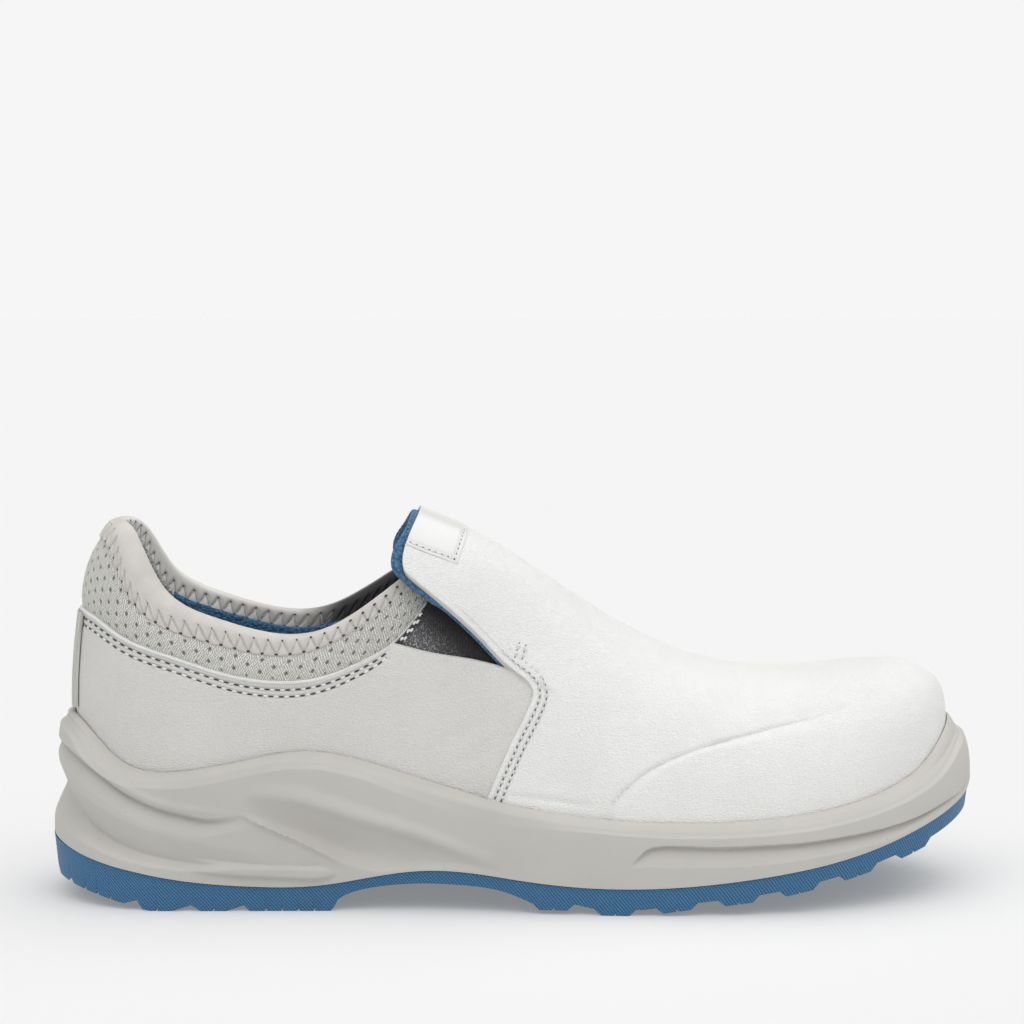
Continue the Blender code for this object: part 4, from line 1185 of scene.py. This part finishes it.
CUFF_OUTLINE = table(
    "share  offset", (0.0, PAD_OUTER - 0.5), (0.12, PAD_OUTER + 0.5), (0.35, PAD_OUTER + 1.15),
    (0.65, PAD_OUTER + 1.1), (0.88, PAD_OUTER + 0.4), (1.0, PAD_OUTER - 0.3),
)["offset"]
HOLE_PITCH, HOLE_ROW, HOLE_SIZE, HOLE_DEPTH = 8.0, 1.83, 0.95, 0.4
CUFF_STEP, CUFF_ROWS, CUFF_INSIDE_ROWS, CUFF_TUCK = 0.36, 66, 8, 0.6
HOLES_LOW, HOLES_HIGH, HOLE_SQUASH = (1.0, 2.5), (0.8, 2.0), 0.8
ZIGZAG_PITCH, ZIGZAG_TOP, ZIGZAG_LEAN = 4.35, 4.7, 0.2
PUFF, PUFF_EDGE, PUFF_TOP, PUFF_FREE = 0.65, 0.9, 0.8, 0.3
# Where painted shade darkens the far band's inner face (x and turns) and where painted light brightens its
# inner face near the heel
BAND_SHADE, BAND_SHADE_TURN, PAINTED_LIGHT_END, PAINTED_LIGHT_TURN = (72.0, 92.0), (0.42, 0.56), (45.0, 65.0), (0.52, 0.62)
BAND_STEP, BAND_ROWS = 0.5, 56
HEEL_LINING_END, HEEL_LINING_ROWS = 0.082, 20
LINING_ROWS, LINING_STEP, LINING_FRONT, LINING_UNDER = 46, 1.6, 0.03, (-0.02, 0.03)
LINING_BELOW, LINING_ABOVE, LINING_FOOT, LINING_BACK = 1.5, 0.5, 1.0, 0.4
LINING_PADDED, LINING_CLEAR = (-16.0, 3.0), 0.25
PIPING_STEP, PIPING_SIDES, PIPING_OUT, PIPING_UP, PIPING_HALF = 0.9, 12, 0.15, 0.1, (0.7, 0.6)
TAB_COLUMNS, TAB_ROWS, TAB_EDGE, TAB_EDGE_SHARE = 49, 90, 0.12, 0.55

collar_front = station_at(*COLLAR_FRONT, LEATHER)


def rim_height(s, side, side_line):
    """Height of a line of the collar, which stands a little higher on the inner side."""
    start, full, fall, end = INNER_RISE_SPAN
    rise = INNER_RISE * ease(s, start, full) * (1 - ease(s, fall, end)) * (side > 0)
    return height_on(s, side_line, LEATHER) + (0 if side_line is PIPING else rise)


def slimmed(s, offset):
    """An offset drawn in towards the collar's front ends."""
    return offset - ease(s, collar_front - SLIM_REACH, collar_front) * np.maximum(offset - PAD_SLIM, 0)


def holes(u, v):
    """1 in the middle of the knit's staggered diamond holes, 0 between them."""
    row = np.round(v / HOLE_ROW)
    shift = (u / HOLE_PITCH + 0.5 * (row % 2)) % 1 - 0.5
    reach = np.abs(shift) * HOLE_PITCH + HOLE_SQUASH * np.abs(v - row * HOLE_ROW)
    return 1 - ease(reach, 0.35 * HOLE_SIZE, HOLE_SIZE)


def make_cuff():
    """Padded cuff of knitted mesh round the heel, with its rows of holes."""
    s, side, u = horseshoe(collar_front, PIPING, LEATHER, CUFF_STEP)
    low, high = rim_height(s, side, PIPING) - CUFF_TUCK, rim_height(s, side, BINDING_LOW) + CUFF_TUCK
    outside, hole_rows, uvs = [], [], []
    for share in spread(CUFF_ROWS):
        v = (high - low) * share
        edge = ease(v, *HOLES_LOW) * ease(high - low - v, *HOLES_HIGH)
        hole = holes(u, v) * edge
        offset = slimmed(s, CUFF_OUTLINE(share) - HOLE_DEPTH * hole)
        outside.append(wall_at(s, side, low + v, offset))
        hole_rows.append(hole)
        uvs.append(np.stack([u, v], -1))
    back = slimmed(s, PAD_INNER + CUFF_TUCK)
    shares = spread(CUFF_INSIDE_ROWS)[::-1]
    inside = [wall_at(s, side, low + (high - low) * share, back) for share in shares]
    ring = outside + inside
    marks = {"hole": np.stack(hole_rows + [0 * u] * len(inside), axis=1)}
    uv = np.stack(uvs + [np.stack([u, 0 * u], -1)] * len(inside), axis=1)
    cuff = ring_piece("cuff", np.stack(ring, axis=1), [knit_mesh], capped=True, uv=uv, marks=marks)
    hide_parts("collar")


def puffs(u, height):
    """Swell of the binding between the slanted stitches that hold it down."""
    share = np.clip(height / ZIGZAG_TOP, 0, 1)
    phase = u / ZIGZAG_PITCH
    gaps = [np.abs((phase + lean * share + 0.5) % 1 - 0.5) for lean in (ZIGZAG_LEAN, ZIGZAG_LEAN - 1)]
    swell = ease(np.minimum(*gaps) * ZIGZAG_PITCH, 0.0, PUFF_EDGE)
    return PUFF * (swell + (1 - swell) * ease(height, ZIGZAG_TOP - PUFF_TOP, ZIGZAG_TOP + PUFF_TOP))


def band_lines():
    """Stations, sides, distance along and the lower and upper heights of the band."""
    s, side, u = horseshoe(collar_front, BINDING_LOW, LEATHER, BAND_STEP)
    return s, side, u, rim_height(s, side, BINDING_LOW), rim_height(s, side, BINDING_TOP)


BAND_SECTION = table(
    "turn  offset  share",
    (0.0, PAD_OUTER - 0.1, -0.02), (0.06, PAD_OUTER + 0.5, 0.03), (0.25, PAD_OUTER + 0.55, 0.42),
    (0.38, PAD_OUTER - 0.25, 0.82), (0.5, PAD_OUTER - 2.9, 1.0), (0.62, PAD_INNER + 0.7, 0.82),
    (0.75, PAD_INNER - 0.1, 0.42), (0.94, PAD_INNER - 0.25, 0.03), (1.0, PAD_INNER + 0.3, -0.02),
)


def band_point(s, side, low, high, turn, swell):
    """A point of the band's section, from its outer foot over the rim to its inner foot."""
    offset = slimmed(s, BAND_SECTION["offset"](turn) + np.where(turn < 0.5, swell, -swell))
    return wall_at(s, side, low + (high - low) * BAND_SECTION["share"](turn), offset)


def make_band():
    """Soft band folded over the rim, puffed between its zigzag stitches outside and inside."""
    s, side, u, low, high = band_lines()
    x = station_x(s, high, LEATHER)
    ring, painted_shades, painted_lights = [], [], []
    for turn in spread(BAND_ROWS):
        height = (high - low) * BAND_SECTION["share"](turn)
        swell = (puffs(u, height) - PUFF) * (1 - bell(turn - 0.5, PUFF_FREE))
        ring.append(band_point(s, side, low, high, turn, swell))
        # Painted shade on the far side's inner face towards the front, painted light on the inner face near
        # the heel
        painted_shades.append(ease(x, *BAND_SHADE) * ease(turn, *BAND_SHADE_TURN) * (side > 0))
        painted_lights.append((1 - ease(x, *PAINTED_LIGHT_END)) * ease(turn, *PAINTED_LIGHT_TURN))
    marks = {"painted_shade": np.stack(painted_shades, axis=1), "pale": np.stack(painted_lights, axis=1)}
    band = ring_piece("rim_band", np.stack(ring, axis=1), [soft_binding], capped=True, marks=marks)
    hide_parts("collar_binding")


def make_lining():
    """Blue lining inside the cuff and the quarters, down to the footbed."""
    front = station_at(*QUARTER_FRONT, LEATHER) - LINING_FRONT
    s, side, _ = horseshoe(front, quarter_top, 0.0, LINING_STEP)
    under = ease(collar_front - s, *LINING_UNDER)
    edge = height_on(s, quarter_top, 0.0) - LINING_BELOW
    cuff = rim_height(np.minimum(s, collar_front), side, BINDING_LOW)
    top = edge + (cuff + LINING_ABOVE - edge) * under
    base = SECTIONS["seat"](s) + INSOLE - LINING_FOOT
    sheets = []
    for thick in (0.0, LINING_SHEET):
        rows = []
        for share in spread(LINING_ROWS):
            z = base + (top - base) * share
            padded = ease(z - edge, *LINING_PADDED) * under
            rows.append(wall_at(s, side, z, (PAD_INNER + LINING_CLEAR) * padded - LINING_BACK - thick))
        sheets.append(np.stack(rows, axis=1))
    rings = sheet_ring(*sheets)
    from_top = np.abs(np.arange(2 * LINING_ROWS) - LINING_ROWS + 0.5)
    heel = (s < HEEL_LINING_END)[:-1, None] & (from_top < HEEL_LINING_ROWS)
    lining = ring_piece("quarter_lining", rings, [blue_lining, grey_lining], capped=True, inner=heel)


def make_piping():
    """Narrow white bead along the foot of the cuff."""
    s, side, _ = horseshoe(collar_front, PIPING, LEATHER, PIPING_STEP)
    middle, z = slimmed(s, LEATHER + PIPING_OUT), height_on(s, PIPING, LEATHER) + PIPING_UP
    wide, tall = PIPING_HALF
    ring = []
    for angle in circle(PIPING_SIDES):
        ring.append(wall_at(s, side, z + tall * math.sin(angle), middle + wide * math.cos(angle)))
    bead = ring_piece("piping", np.stack(ring, axis=1), [white_leather], capped=True)


def make_heel_tab():
    """Woven strip up the back of the heel."""
    half = math.sqrt(STRIP_HALF)
    root_s = spread(TAB_COLUMNS, -half, half)[:, None]
    s, side = round_heel(root_s)
    z = spread(TAB_ROWS, STRIP_FOOT, STRIP_TOP) + 0 * s
    edge = ease(1 - np.abs(root_s) / half, 0.0, TAB_EDGE)
    crown = STRIP * (TAB_EDGE_SHARE + (1 - TAB_EDGE_SHARE) * edge)
    rings = sheet_ring(*(wall_at(s, side, z, LEATHER + GAP + thick) for thick in (crown, 0 * crown)))
    tab = ring_piece("heel_tab", rings, [heel_weave], capped=True, uv=rings[..., 1:], sharp=60)
    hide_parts("heel_strip")


# Flap

GORE_COLUMNS, GORE_ROWS = 70, 40
# Painted shade on the gores: distances from the flap's edge over which it fades, its strength, and the turn
# and point count of that edge
GORE_SHADE, GORE_PAINTED_SHADE, GORE_EDGE_TURN, GORE_EDGE_COUNT = (5.0, 16.0), 0.95, 0.8, 300


def make_gores():
    """Dark elastic wedges behind the throat notches."""
    start, end = (station_at(*point, LEATHER) for point in GORE_SPAN)
    s = spread(GORE_COLUMNS, start, end)
    low = turn_at(s, height_on(s, quarter_top, LEATHER) - GORE_MARGIN, LEATHER)
    high = np.minimum(turn_at(s, height_on(s, PIPING, LEATHER) - GAP, LEATHER), GORE_TOP_TURN)
    turn = low[:, None] + spread(GORE_ROWS) * (high - low)[:, None]
    edge_turn = spread(GORE_EDGE_COUNT, THROAT_TURN, GORE_EDGE_TURN)
    for name, side in (("gore_lateral", OUTER_SIDE), ("gore_medial", INNER_SIDE)):
        rings = sheet_ring(*(wall(s[:, None], side, turn, -GAP - thick) for thick in (0.0, GORE)))
        edge = vamp_point(edge_station(edge_turn), side, edge_turn, VAMP_INNER)
        # Painted shade, darkest at the flap's edge and fading away from it
        painted_shade = {"painted_shade": GORE_PAINTED_SHADE * (1 - ease(edge_distance(rings, edge), *GORE_SHADE))}
        gore = ring_piece("elastic_" + name, rings, [dark_elastic], capped=True, marks=painted_shade, sharp=50)
        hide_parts(name)


PADDING_NOSE, THIN_NOSE, THIN_HALF, THIN_DROP, PADDING_LESS = 2.4, 0.6, 0.4, 0.6, 0.15
PADDING_BUMP, PADDING_BUMP_PITCH = 0.22, 1.9
PADDING_REACH, STRIP_REACH, STRIP_DEPTH = 3.4, 1.3, 9.0
PADDING_START, PADDING_FULL = 0.004, (0.503, 0.535)
REACH_LESS, REACH_LESS_SPAN = 1.1, (0.58, 0.78)
NOSE_RISE, NOSE_RISE_SPAN = 0.9, (1.8, 3.2)
PADDING_SHARES = two_spreads(18, 34, 0, 0.08, 1.0)


def make_flap_padding():
    """Blue lining under the flap: a padded, bumpy nose round its end and a thin strip to the throat."""
    first_turn = THROAT_TURN + PADDING_START
    side, turn = over_the_ridge(two_spreads(40, 130, first_turn, LINING_LOW_TURN, 1.0))
    slope = (LINING_END - LINING_SIDE_END) / (1.0 - LINING_LOW_TURN)
    full = ease(turn, *PADDING_FULL)
    reach = STRIP_REACH + (PADDING_REACH - STRIP_REACH) * full - REACH_LESS * ease(turn, *REACH_LESS_SPAN)
    start = edge_station(turn) - reach / LENGTH
    side_end = LINING_SIDE_END + slope * np.maximum(turn - LINING_LOW_TURN, 0)
    s = start + (np.maximum(side_end, start + STRIP_DEPTH / LENGTH) - start) * PADDING_SHARES
    away = (s - start) * LENGTH
    middle = VAMP_INNER - THIN_DROP + (THIN_DROP - LINING_GAP - LINING / 2) * full
    nose = THIN_NOSE + (PADDING_NOSE - THIN_NOSE) * full
    half = THIN_HALF + (LINING / 2 - PADDING_LESS) * full
    thick = half * np.sqrt(np.clip(1 - (1 - np.clip(away / nose, 0, 1)) ** 2, 0, 1))
    row = along(vamp_point(start, side, turn, middle)[:, 0])[:, None]
    bump = np.sin(2 * math.pi * row / PADDING_BUMP_PITCH) * np.cos(2 * math.pi * away / PADDING_BUMP_PITCH)
    bump = PADDING_BUMP * full * bump * (1 - ease(away, PADDING_NOSE, 2 * PADDING_NOSE))
    over = (1 - ease(away, *NOSE_RISE_SPAN)) * full * NOSE_RISE
    sheets = [vamp_point(s, side, turn + 0 * s, middle + over + k * (thick + bump)) for k in (1, -1)]
    padding = ring_piece("flap_padding", sheet_ring(*sheets), [blue_lining], capped=True)
    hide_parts("flap_lining")


LABEL_BORDER, LABEL_SEAM, LABEL_EDGE_SHARE, LABEL_ROLL, LABEL_COUNT = 2.6, 0.4, 0.35, 0.3, 60


def make_flap_patch():
    """Blank patch on the flap, pressed thin along its stitched border."""
    last = station_at(*LABEL_END, VAMP_OUTER)
    side, turn = over_the_ridge(spread(LABEL_COUNT, LABEL_TURN, 1.0))
    first = edge_station(turn) + LABEL_START
    s = first + (last - first) * spread(LABEL_COUNT)
    turn = turn + 0 * s
    flat = vamp_point(s, side, turn, VAMP_OUTER)
    rim = np.concatenate([flat[0], flat[:, -1], flat[-1]])
    away = edge_distance(flat, rim)
    raised = ease(away, LABEL_SEAM * LABEL_BORDER, LABEL_BORDER)
    crown = LABEL * (LABEL_EDGE_SHARE + (1 - LABEL_EDGE_SHARE) * raised) - roll(away, LABEL_ROLL)
    sheets = [vamp_point(s, side, turn, VAMP_OUTER + GAP / 2 + thick) for thick in (crown, 0 * crown)]
    patch = ring_piece("flap_patch", sheet_ring(*sheets), [smooth_patch], capped=True)
    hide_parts("flap_label")


# Stitches

THREAD_SIDES, THREAD_SUNK, THREAD_LIFT = 8, 0.25, 0.35
HOLE_SIDES, HOLE_RIM, HOLE_LID, HOLE_FLOOR, HOLE_LONGER = 10, 0.10, 0.14, -0.15, 0.3
THREAD_RINGS = ((0.0, 0.0), (0.06, 0.62), (0.25, 0.92), (0.5, 1.0), (0.75, 0.92), (0.94, 0.62), (1.0, 0.0))


def unit(vectors):
    """Vectors of length 1."""
    return vectors / np.linalg.norm(vectors, axis=-1, keepdims=True)


def evenly(path, out, pitch):
    """Places at an even pitch along a path, with the outward directions there."""
    travelled = along(path)
    marks = spread(max(2, round(travelled[-1] / pitch) + 1), 0, travelled[-1])
    places = np.stack([np.interp(marks, travelled, path[:, k]) for k in range(3)], -1)
    outs = np.stack([np.interp(marks, travelled, out[:, k]) for k in range(3)], -1)
    return places, unit(outs)


def thread_mesh(start, end, out, width, lift):
    """Points and faces of one spindle of thread for each start and end."""
    way = unit(end - start)
    across_way = unit(np.cross(way, out))
    points = []
    for share, full in THREAD_RINGS:
        rise = lift * math.sin(share * math.pi) - THREAD_SUNK * width
        middle = start + (end - start) * share + out * rise
        for angle in circle(THREAD_SIDES):
            round_way = across_way * math.cos(angle) + out * math.sin(angle)
            points.append(middle + width / 2 * full * round_way)
    points = np.stack(points, axis=1)
    faces = []
    for first in range(0, points.shape[0] * points.shape[1], points.shape[1]):
        faces += grid_quads(len(THREAD_RINGS), THREAD_SIDES, first, closed=True)
    return points.reshape(-1, 3), faces


def hole_mesh(places, way, out, long, wide):
    """Points and faces of small dark lens-shaped pits."""
    side_way = np.cross(way, out)
    points = []
    for angle in circle(HOLE_SIDES):
        reach = long / 2 * math.cos(angle) * way + wide / 2 * math.sin(angle) * side_way
        points.append(places + out * HOLE_RIM + reach)
    points = np.stack(points + [places + out * HOLE_LID, places + out * HOLE_FLOOR], axis=1)
    faces = []
    for first in range(0, points.shape[0] * points.shape[1], points.shape[1]):
        lid = first + HOLE_SIDES
        for k in range(HOLE_SIDES):
            a, b = first + k, first + (k + 1) % HOLE_SIDES
            faces += [[a, b, lid], [b, a, lid + 1]]
    return points.reshape(-1, 3), faces


def joined(meshes):
    """Several meshes' points and faces as one."""
    points, faces, first = [], [], 0
    for some_points, some_faces in meshes:
        points.append(some_points)
        faces += [[first + k for k in face] for face in some_faces]
        first += len(some_points)
    return np.concatenate(points), faces


def straight_row(path, out, pitch, width, gap, wide):
    """Threads and holes of a row of straight stitches."""
    places, outs = evenly(path, out, pitch)
    start, end = places[:-1], places[1:]
    inset = (end - start) * gap / pitch / 2
    threads = thread_mesh(start + inset, end - inset, outs[:-1], width, THREAD_LIFT * width)
    way = unit(np.gradient(places, axis=0))
    return threads, hole_mesh(places, way, outs, gap + HOLE_LONGER, wide)


def outward(surface, offset):
    """Points of a surface at an offset, and the outward directions there."""
    points = surface(offset)
    return points, unit(surface(offset + 1.0) - points)


def vamp_path(s, side, turn, offset):
    """A path on the vamp and the outward directions along it."""
    return outward(lambda out: vamp_point(s, side, turn, out), offset)


def vamp_line(x, z, side, offset):
    """The same through points of the side view."""
    s = station_at(x, z, VAMP_OUTER)
    return vamp_path(s, side, turn_at(s, z, VAMP_OUTER), offset)


def edge_row(distance, first, last, side, offset):
    """A path at a distance from the vamp's rear edge, between two of the edge's points, counted from 0."""
    x, z = vamp_edge(spread(ROW_COUNT, first, last))
    way_x, way_z = unit(np.stack(np.gradient([x, z], axis=1), -1)).T
    return vamp_line(x + distance * way_z, z - distance * way_x, side, offset)


# Pitch, thread width, gap and hole width of each kind of row
QUARTER_STITCH = (3.25, 0.8, 1.6, 0.55)
SEAM_STITCH = (2.15, 1.15, 0.85, 0.38)
TACK_STITCH = (2.1, 1.3, 0.5, 0.36)
PATCH_STITCH = (2.2, 0.5, 0.5, 0.32)
STITCH_SINK, STITCH_CLEAR, STITCH_STEP, ON_GORE = 0.22, 0.0105, 1.0, 4.0
SEAM_SPAN, ROW_COUNT, TACK_COUNT = (2.0, 8.4), 240, 20
PATCH_INSET, PATCH_INSET_TURN, PATCH_ROW_COUNT, PATCH_TOP_COUNT = 0.004, 0.014, 40, 30
ZIGZAG_THREAD, ZIGZAG_LIFT, ZIGZAG_FOOT, ZIGZAG_OUT = 0.38, 0.45, 0.5, 0.12
ZIGZAG_HOLE, ZIGZAG_HOLE_OUT, ZIGZAG_TURNS = (1.1, 0.8), 0.2, 400
TACKS = (((149.0, 78.4), (150.4, 82.6)), ((151.3, 77.9), (152.5, 81.8)))


def make_seam_stitches():
    """Double rows under the piping and along the vamp's seam, tacks at the throat, a row round the patch."""
    stations, sides, _ = horseshoe(collar_front, PIPING, LEATHER, STITCH_STEP)
    rows, seams = [], []
    for below in QUARTER_ROWS:
        for one in SIDES:
            s = stations[(stations > STITCH_CLEAR) & (sides == one)]
            z = height_on(s, PIPING, LEATHER)
            x = station_x(s, z, LEATHER)
            offset = (LEATHER - STITCH_SINK) * (1 - ease(PIPING(x) - GORE_EDGE(x), 0.0, ON_GORE))
            path = outward(lambda out: wall_at(s, one, z - below, out), offset)
            rows.append(straight_row(*path, *QUARTER_STITCH))
    rows += patch_rows()
    for one in SIDES:
        for distance in SEAM_ROWS:
            path = edge_row(distance, *SEAM_SPAN, one, VAMP_OUTER - STITCH_SINK)
            seams.append(straight_row(*path, *SEAM_STITCH))
        for (x0, z0), (x1, z1) in TACKS:
            path = vamp_line(spread(TACK_COUNT, x0, x1), spread(TACK_COUNT, z0, z1), one, VAMP_OUTER)
            seams.append(straight_row(*path, *TACK_STITCH))
    kinds = (("quarter", rows, white_thread, needle_hole), ("seam", seams, seam_thread, seam_hole))
    for name, some, thread, pit in kinds:
        threads, pits = zip(*some)
        mesh_piece(name + "_stitches", *joined(threads), [thread])
        mesh_piece(name + "_holes", *joined(pits), [pit])


def patch_rows():
    """Stitches along the three sewn sides of the flap's patch."""
    last = station_at(*LABEL_END, VAMP_OUTER) - PATCH_INSET
    offset = VAMP_OUTER + GAP / 2 + LABEL_SEAM * LABEL
    low = LABEL_TURN + PATCH_INSET_TURN
    flank_s = spread(PATCH_ROW_COUNT, edge_station(low) + PATCH_INSET, last)
    paths = [(flank_s, one, low) for one in SIDES]
    side, turn = over_the_ridge(spread(PATCH_TOP_COUNT, low, 1.0))
    paths.append((last, side[:, 0], turn[:, 0]))
    return [straight_row(*vamp_path(*path, offset), *PATCH_STITCH) for path in paths]


def make_zigzag():
    """Slanted stitches that hold the band to the cuff, outside and inside, with their needle holes."""
    s, side, u, low, high = band_lines()
    threads, pits = [], []
    turns = spread(ZIGZAG_TURNS)
    shares = BAND_SECTION["share"](turns)
    for outer in (True, False):
        half = (turns < 0.5) if outer else (turns > 0.5)
        order = np.argsort(shares[half])
        count = int(u[-1] / ZIGZAG_PITCH)
        ends = []
        for height, phase in ((ZIGZAG_FOOT, 0.0), (ZIGZAG_TOP, 1 - ZIGZAG_LEAN)):
            at = (np.arange(1, count) + phase) * ZIGZAG_PITCH
            s_at, side_at = round_heel(np.interp(at, u, side * np.sqrt(s)))
            low_at, high_at = np.interp(at, u, low), np.interp(at, u, high)
            turn = np.interp(height / (high_at - low_at), shares[half][order], turns[half][order])
            band = (s_at, side_at, low_at, high_at, turn)
            place, out = outward(lambda swell: band_point(*band, swell), -PUFF)
            ends.append((place + ZIGZAG_OUT * out, out))
        # The inner side's back face is plain, without stitches, where the band carries painted shade
        clear = outer | (side_at < 0) | (station_x(s_at, high_at, LEATHER) < BAND_SHADE[1])
        (foot, foot_out), (top, top_out) = ends = [(place[clear], out[clear]) for place, out in ends]
        legs = (foot, top, foot_out + top_out), (top[:-1], foot[1:], top_out[:-1] + foot_out[1:])
        for start, end, out in legs:
            threads.append(thread_mesh(start, end, unit(out), ZIGZAG_THREAD, ZIGZAG_LIFT))
        for place, out in ends:
            way = unit(np.gradient(place, axis=0))
            pits.append(hole_mesh(place + ZIGZAG_HOLE_OUT * out, way, out, *ZIGZAG_HOLE))
    mesh_piece("zigzag_stitches", *joined(threads), [grey_thread])
    mesh_piece("zigzag_holes", *joined(pits), [needle_hole])


# Studio

CAMERA_DISTANCE, CAMERA_HEIGHT, CAMERA_SIDE = 0.7864, 0.1876, -0.0009
CAMERA_TURN, CAMERA_DROP, CAMERA_LENS = 2.0, 4.785, 85.5
BACKGROUND, DOME_RING, DOME_TOP = 0.92, 0.16, 0.95
FRONT_LOW, FRONT_HIGH = -0.66, 1.26
KEY_FROM, KEY_STRENGTH, KEY_ANGLE = (0.30, 0.32, 0.90), 0.80, 60.0
# The floor's glow is painted light that lifts the shadows under the shoe
FLOOR_TONE, FLOOR_GLOW, FLOOR_HALF = 0.60, 0.222, 40.0


def make_studio():
    """Pale floor that glows a little, painted light that keeps the shadows under the shoe pale, a soft dome
    that is brightest overhead, a soft key light from behind and the camera.
    """
    scene = bpy.context.scene
    scene.view_settings.view_transform = "Standard"
    world = bpy.data.worlds.new("studio")
    scene.world = world
    world.use_nodes = True
    tree = world.node_tree
    tree.nodes.clear()
    place = add_node(tree, "TexCoord", {}).outputs["Generated"]
    split = add_node(tree, "SeparateXYZ", {"Vector": place})
    ramps = (
        ("Z", 0.20, 0.36, BACKGROUND, DOME_RING), ("Z", 0.55, 0.9, 0.0, DOME_TOP - DOME_RING),
        ("Z", 0.15, 0.65, FRONT_LOW, FRONT_HIGH), ("Y", 0.0, -0.4, 0.0, 1.0), ("Z", 0.03, 0.10, 0.0, 1.0),
    )
    levels = []
    for axis, *ends in ramps:
        inputs = range_inputs(split.outputs[axis], *ends)
        levels.append(add_node(tree, "MapRange", inputs, interpolation_type="SMOOTHSTEP").outputs["Result"])
    for operation, first, second in (("MULTIPLY", 2, 3), ("MULTIPLY", 4, 5), ("ADD", 0, 1), ("ADD", 6, 7)):
        step = add_node(tree, "Math", {0: levels[first], 1: levels[second]}, operation=operation)
        levels.append(step.outputs["Value"])
    light = add_node(tree, "Background", {"Color": (1, 1, 1, 1), "Strength": levels[-1]})
    add_node(tree, "OutputWorld", {"Surface": light.outputs["Background"]})

    key = bpy.data.lights.new("key", "SUN")
    key.energy = KEY_STRENGTH
    key.angle = math.radians(KEY_ANGLE)
    added("key", key).rotation_euler = Vector(KEY_FROM).to_track_quat("Z", "Y").to_euler()

    mesh = bpy.data.meshes.new("floor")
    corners = [(x * FLOOR_HALF, y * FLOOR_HALF, 0) for x, y in ((-1, -1), (1, -1), (1, 1), (-1, 1))]
    mesh.from_pydata(corners, [], [(0, 1, 2, 3)])
    # Painted light: the floor glows by itself
    glowing = {"Specular IOR Level": 0.0, "Emission Color": (1, 1, 1, 1), "Emission Strength": FLOOR_GLOW}
    mesh.materials.append(Finish("pale_floor", (FLOOR_TONE,) * 3, 0.9, glowing).material)
    added("floor", mesh)

    lens = bpy.data.cameras.new("camera")
    lens.lens = CAMERA_LENS
    lens.sensor_width = 36.0
    camera = added("camera", lens)
    turn = math.radians(CAMERA_TURN)
    camera.location = (
        CAMERA_SIDE - CAMERA_DISTANCE * math.sin(turn), -CAMERA_DISTANCE * math.cos(turn), CAMERA_HEIGHT
    )
    camera.rotation_euler = (math.radians(90 - CAMERA_DROP), 0, -turn)
    scene.camera = camera


for make in (
    make_sole_body, make_tread, make_footbed, make_quarters, make_vamp, make_cuff, make_band, make_lining,
    make_piping, make_heel_tab, make_gores, make_flap_padding, make_flap_patch, make_seam_stitches,
    make_zigzag, make_studio,
):
    make()
